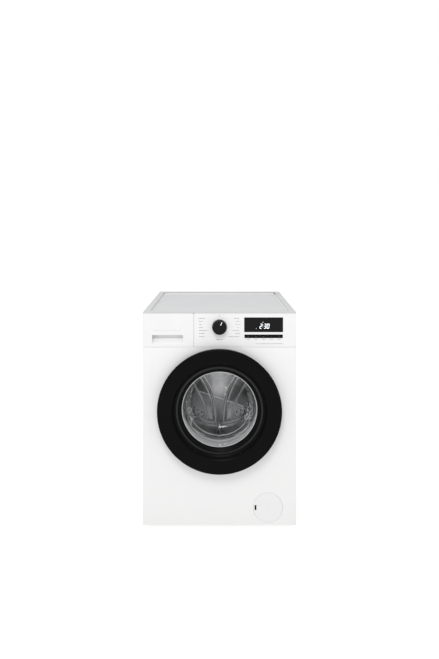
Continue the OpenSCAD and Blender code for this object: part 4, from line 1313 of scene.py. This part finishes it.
    def segment_digit(self, x: float, z: float, width: float, height: float, lit: str) -> Shape:
        """Draw one leaning seven segment digit.

        Args:
            x: Its left edge.
            z: Its foot.
            width: Width.
            height: Height.
            lit: Letters of the segments that are lit, from a to g.

        Returns:
            The lit segments.
        """
        t, lean, shape = 1.9 * MM, 0.14, Shape()
        rows = {"a": height - t, "g": (height - t) / 2, "d": 0.0}
        posts = {"f": (0, 1), "b": (1, 1), "e": (0, 0), "c": (1, 0)}
        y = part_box("display_window")[0].y
        for name in lit:
            if name in rows:
                low = rows[name]
                corners = [(t * 0.6, low + t / 2), (t * 1.05, low), (width - t * 1.05, low),
                           (width - t * 0.6, low + t / 2), (width - t * 1.05, low + t), (t * 1.05, low + t)]
            else:
                side, upper = posts[name]
                left = side * (width - t)
                low = upper * (height / 2 - t / 2) + t * 0.7
                high = low + height / 2 - t * 0.9
                corners = [(left + t / 2, low - t * 0.35), (left + t, low + t * 0.1),
                           (left + t, high - t * 0.1), (left + t / 2, high + t * 0.35),
                           (left, high - t * 0.1), (left, low + t * 0.1)]
            shape.add(slab([(x + u + v * lean, z + v) for u, v in corners], y - LIT_OUT, y + LIT_IN))
        return shape

    def build_display(self) -> None:
        """Light the digits, the colon, the dot and the small sign over them."""
        width, height = 9 * MM, 19 * MM
        z = self.window.z - 15 * MM
        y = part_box("display_window")[0].y
        lit = Shape()
        for place, segments in ((-20.0, "abged"), (-4.6, "abgcd"), (7.4, "abcdef")):
            lit.add(self.segment_digit(self.window.x + 4 * MM + place * MM, z, width, height, segments))
        for up in (5.5 * MM, 13 * MM):
            x = self.window.x + 4 * MM - 8.2 * MM + up * 0.14
            lit.add(self.ink(x, x + 1.5 * MM, z + up, z + up + 1.5 * MM, y))
        lit.add(self.ink(self.window.x - 30 * MM, self.window.x - 28.4 * MM, z + 0.4 * MM, z + 2 * MM, y))
        sign = circle(self.window.x - 3 * MM, self.window.z + 10 * MM, 1.2 * MM, 24)
        lit.add(slab(sign, y - LIT_OUT, y + LIT_IN))
        self.bench.piece("lit_digits", lit, "cabinet", "black_glass", DIGIT_GLOW)

    def build_knob(self) -> None:
        """Make the fluted knob and its inlaid pointer."""
        low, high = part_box("program_knob")
        radius, face = (high.x - low.x) / 2, low.y
        outline = offset(0.0, face, (0.4, 0.9), (8, 0.7)) + [(radius * 0.6, face + 0.3 * MM)]
        outline += offset(radius, face, (-6, 0.1), (-4.4, 0.5), (-2.8, 2), (-2, 5), (-1.4, 12))
        outline += offset(radius, FRONT, (-0.4, -3), (-0.1, -1.4), (-0.8, -0.6), (-4, -0.6))
        outline += offset(radius, face, (-5, 5)) + offset(0.0, face, (3.2, 5))
        outline += offset(0.0, FRONT, (3, 20), (0.4, 20.4))
        shape = lathe(outline, self.knob, 240)
        fluted = []
        for x, y, z in shape.points:
            u, v = x - self.knob.x, z - self.knob.z
            r = math.hypot(u, v)
            turn = math.atan2(v, u)
            on_grip = face + 1.5 * MM < y < FRONT - 4 * MM and r > radius - 4 * MM
            scale = 1 - 0.012 * (0.5 + 0.5 * math.cos(40 * turn)) if on_grip else 1.0
            fluted.append((self.knob.x + u * scale, y, self.knob.z + v * scale))
        shape.points = fluted
        knob = self.bench.piece("knob_body", shape, "knob", "knob_black", angle=32)
        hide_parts("program_knob")
        turn, half, y = math.radians(22.5), 1.25 * MM, face
        along, across = Vector((math.sin(turn), math.cos(turn))), Vector((math.cos(turn), -math.sin(turn)))
        start = Vector((self.knob.x, self.knob.z)) + along * 11 * MM
        stop = start + along * 13 * MM
        corners = [start - across * half, stop - across * half, stop + across * half, start + across * half]
        self.bench.piece("knob_pointer", slab([tuple(c) for c in corners], y + 0.05 * MM, y + 1.2 * MM),
                         "knob", "knob_black", POINTER_INK)

    def build_key_marks(self) -> None:
        """Put a small pale mark on each key and a dark bridge between neighbours."""
        bridges = Shape()
        for index in range(1, 5):
            left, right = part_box(f"key_{index}"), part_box(f"key_{index + 1}")
            edge = 0.3 * MM
            bridges.add(bar(left[1].x + edge, right[0].x - edge, left[0].z, left[1].z,
                            FRONT - 0.4 * MM, FRONT))
        self.bench.piece("key_bridges", bridges, "cabinet", "key_black")
        for index in range(1, 6):
            low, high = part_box(f"key_{index}")
            mid = (low + high) / 2
            shape = self.ink(mid.x - 0.9 * MM, mid.x + 0.9 * MM, mid.z - 0.25 * MM, mid.z + 0.25 * MM, low.y)
            self.bench.piece(f"key_mark_{index}", shape, f"key{index}", "key_black", PALE_INK)


@dataclass
class Suspension:
    """Springs and hoses that stretch between the cabinet and the floating tub."""

    bench: Bench

    def blended(self, name: str, shape: Shape, slot: str, node: str) -> None:
        """Add a piece on no body, with its points fixed where they stand, in place of a CAD node.

        Args:
            name: Object name.
            shape: Points and faces.
            slot: Record slot for its finish.
            node: CAD node that it stands for.
        """
        made = self.bench.piece(name, shape, "", slot, angle=60)
        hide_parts(node)
        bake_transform(made)

    def build_springs(self) -> None:
        """Wind the two hanging springs with hooked ends."""
        low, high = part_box("suspension_springs")
        wire, coil_r, turns = 1.8 * MM, 11 * MM, 13
        y, x = (low.y + high.y) / 2, high.x - coil_r - wire
        bottom, top = low.z + 15 * MM, high.z - 16 * MM
        both = Shape()
        for side in (-1, 1):
            path = [(side * x, y, low.z + wire), (side * x, y, bottom - 8 * MM)]
            steps = turns * 20
            for k in range(steps + 1):
                a = 2 * math.pi * k / 20
                path.append((side * x + coil_r * math.cos(a), y + coil_r * math.sin(a),
                             bottom + (top - bottom) * k / steps))
            path += [(side * x, y, top + 8 * MM), (side * x, y, high.z - wire)]
            both.add(tube(path, wire * 0.97, 8))
        self.blended("hanging_springs", both, "spring_steel", "suspension_springs")

    def build_hoses(self) -> None:
        """Mould the bellows hose from the drawer and the one to the pump."""
        low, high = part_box("dispenser_hose")
        centre, outer = (low + high) / 2, (high.x - low.x) / 2
        outline, folds = [], 8
        for k in range(folds * 6 + 1):
            z = high.z - (high.z - low.z) * k / (folds * 6)
            crest = 0.5 - 0.5 * math.cos(2 * math.pi * k / 6)
            outline.append((outer - 5 * MM * (1 - crest), z))
        outline += [(17 * MM, low.z), (17 * MM, high.z)]
        upright = Matrix.Rotation(math.radians(90), 4, "X")
        turned = lathe([(r, z) for r, z in outline], Vector((0, 0, 0)), 48).placed(upright)
        shape = turned.placed(Matrix.Translation((centre.x, centre.y, 0)))
        self.blended("drawer_hose", shape, "grey_rubber", "dispenser_hose")
        self.build_sump_hose()

    def build_sump_hose(self) -> None:
        """Mould the folded hose from the tub's sump down to the pump."""
        low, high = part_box("sump_hose")
        knots = [Vector((0.06, FRONT + 0.13, high.z)), Vector((0.06, FRONT + 0.13, high.z - 8 * MM)),
                 Vector((0.066, FRONT + 0.13, high.z - 20 * MM)), Vector((0.1, FRONT + 0.122, 0.16)),
                 Vector((0.14, FRONT + 0.076, 0.162)), Vector((0.1626, FRONT + 0.066, low.z + 22 * MM)),
                 Vector((0.1676, FRONT + 0.066, low.z + 10 * MM)), Vector((0.1676, FRONT + 0.066, low.z))]
        path = []
        for i in range(len(knots) - 1):
            before, after = knots[max(i - 1, 0)], knots[min(i + 2, len(knots) - 1)]
            for t in (k / 8 for k in range(8)):
                path.append(tuple(catmull_rom(before, knots[i], knots[i + 1], after, t)))
        path.append(tuple(knots[-1]))
        folds = [18.5 * MM if 8 < i < len(path) - 9 and i % 3 == 0 else 16 * MM for i in range(len(path))]
        hose = tube(path, folds, 20)
        self.blended("sump_bellows", hose, "grey_rubber", "sump_hose")


@dataclass
class Hardware:
    """Screws, washers and edge strips that the frame leaves to the looks."""

    bench: Bench

    def build_screws(self) -> None:
        """Put twelve headed screws through the tub's flange."""
        low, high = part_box("tub_rear")
        flange_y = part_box("tub_front")[1].y
        centre = middle("drum_shell")
        ring = (high.x - low.x) / 2 - 4.5 * MM
        screws = Shape()
        for k in range(12):
            a = math.radians(30 * k + 15)
            x, z = centre.x + ring * math.cos(a), centre.z + ring * math.sin(a)
            for r, y0, y1 in ((2.4, -14.0, 12.0), (4.6, -14.0, -9.2)):
                screws.add(slab(circle(x, z, r * MM, 12), flange_y + y0 * MM, flange_y + y1 * MM))
        self.bench.piece("tub_screws", screws, "tub", "spring_steel")

    def build_washers(self) -> None:
        """Lay a six sided washer over each foot's stem, under the base frame."""
        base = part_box("base_frame")[0].z
        washers = Shape()
        for name in ("foot_front_left", "foot_front_right", "foot_rear_left", "foot_rear_right"):
            spot = middle(name)
            ring = circle(spot.x, spot.y, 8.5 * MM, 6)
            washers.add(prism([(x, y, base - 0.6 * MM) for x, y in ring],
                              [(x, y, base + 0.4 * MM) for x, y in ring]))
        self.bench.piece("lock_washers", washers, "cabinet", "spring_steel")

    def build_beads(self) -> None:
        """Lay flat white strips along the worktop's sides and rear, a painted highlight along the trim's inner
        edges.
        """
        low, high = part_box("worktop_panel")
        z0, z1 = high.z - 1.5 * MM, high.z + 0.25 * MM
        beads = Shape()
        for x0, x1, y0, y1 in ((low.x - 1 * MM, low.x + 1.2 * MM, low.y, high.y),
                               (high.x - 4.5 * MM, high.x + 1 * MM, low.y, high.y),
                               (low.x, high.x, high.y - 34 * MM, high.y)):
            beads.add(bar(x0, x1, z0, z1, y0, y1))
        # Painted highlight: white strips over the gaps between the trim and the panel.
        self.bench.piece("worktop_highlight_strips", beads, "cabinet", "white_plastic")


@dataclass
class Studio:
    """The camera, the soft lights and the pale floor."""

    distance: float = 1.78
    eye: float = 1.203
    lens: float = 25.1
    rise: float = -0.166

    def build_camera(self) -> None:
        """Place the level camera in front of the machine."""
        data = bpy.data.cameras.new("camera")
        data.lens = self.lens
        data.shift_y = self.rise
        camera = bpy.data.objects.new("camera", data)
        camera.location = (0.0, FRONT - self.distance, self.eye)
        camera.rotation_euler = (math.radians(90), 0, 0)
        bpy.context.scene.collection.objects.link(camera)
        bpy.context.scene.camera = camera

    def lamp(self, name: str, place: Point, target: Point, size: float, power: float) -> None:
        """Add one soft square lamp.

        Args:
            name: Object name.
            place: Where it stands.
            target: What it is turned to.
            size: Edge length.
            power: Power in watts.
        """
        data = bpy.data.lights.new(name, "AREA")
        data.size = size
        data.energy = power
        lamp = bpy.data.objects.new(name, data)
        lamp.location = place
        lamp.rotation_euler = (Vector(target) - Vector(place)).to_track_quat("-Z", "Y").to_euler()
        bpy.context.scene.collection.objects.link(lamp)

    def build_lights(self) -> None:
        """Light the room softly from the front left and above."""
        scene = bpy.context.scene
        scene.view_settings.view_transform = "Standard"
        world = bpy.data.worlds.new("room")
        world.use_nodes = True
        world.node_tree.nodes["Background"].inputs["Color"].default_value = (1.0, 1.0, 1.0, 1.0)
        world.node_tree.nodes["Background"].inputs["Strength"].default_value = 1.0
        scene.world = world
        aim = (0.0, FRONT, 0.5)
        self.lamp("key_lamp", (-0.3, FRONT - 1.6, 2.6), aim, 0.8, 27.0)
        self.lamp("drum_lamp", (0.0, FRONT + 0.12, 0.31), (0.0, FRONT + 0.4, 0.42), 0.08, 0.024)

    def build_floor(self) -> None:
        """Lay the plain pale floor."""
        mesh = bpy.data.meshes.new("floor")
        reach = 30.0
        mesh.from_pydata([(-reach, -reach, 0), (reach, -reach, 0), (reach, reach, 0), (-reach, reach, 0)],
                         [], [(0, 1, 2, 3)])
        made = Surface("floor", Roughness=0.7, Emission_Strength=0.93)
        made.feed("Base Color", made.mixed(made.noise(3.0), shade(0.16), shade(0.14)))
        made.feed("Emission Color", made.mixed(made.noise(2.0), shade(1.0), shade(0.985)))
        mesh.materials.append(made.material)
        floor = bpy.data.objects.new("floor", mesh)
        bpy.context.scene.collection.objects.link(floor)


def main() -> None:
    """Build the studio and every sub-assembly."""
    logging.basicConfig(level=logging.INFO, format="%(message)s")
    studio = Studio()
    studio.build_camera()
    bench = Bench()
    bench.dress_frame()
    door = Door(bench)
    door.build_ring()
    door.build_bowl()
    Gasket(bench).build()
    drum = Drum(bench)
    drum.build_wall()
    drum.build_beads()
    drum.build_lifters()
    controls = Controls(bench)
    controls.build_legends()
    controls.build_liners()
    controls.build_display()
    controls.build_knob()
    controls.build_key_marks()
    suspension = Suspension(bench)
    suspension.build_springs()
    suspension.build_hoses()
    hardware = Hardware(bench)
    hardware.build_screws()
    hardware.build_washers()
    hardware.build_beads()
    studio.build_lights()
    studio.build_floor()


if __name__ == "__main__":
    main()
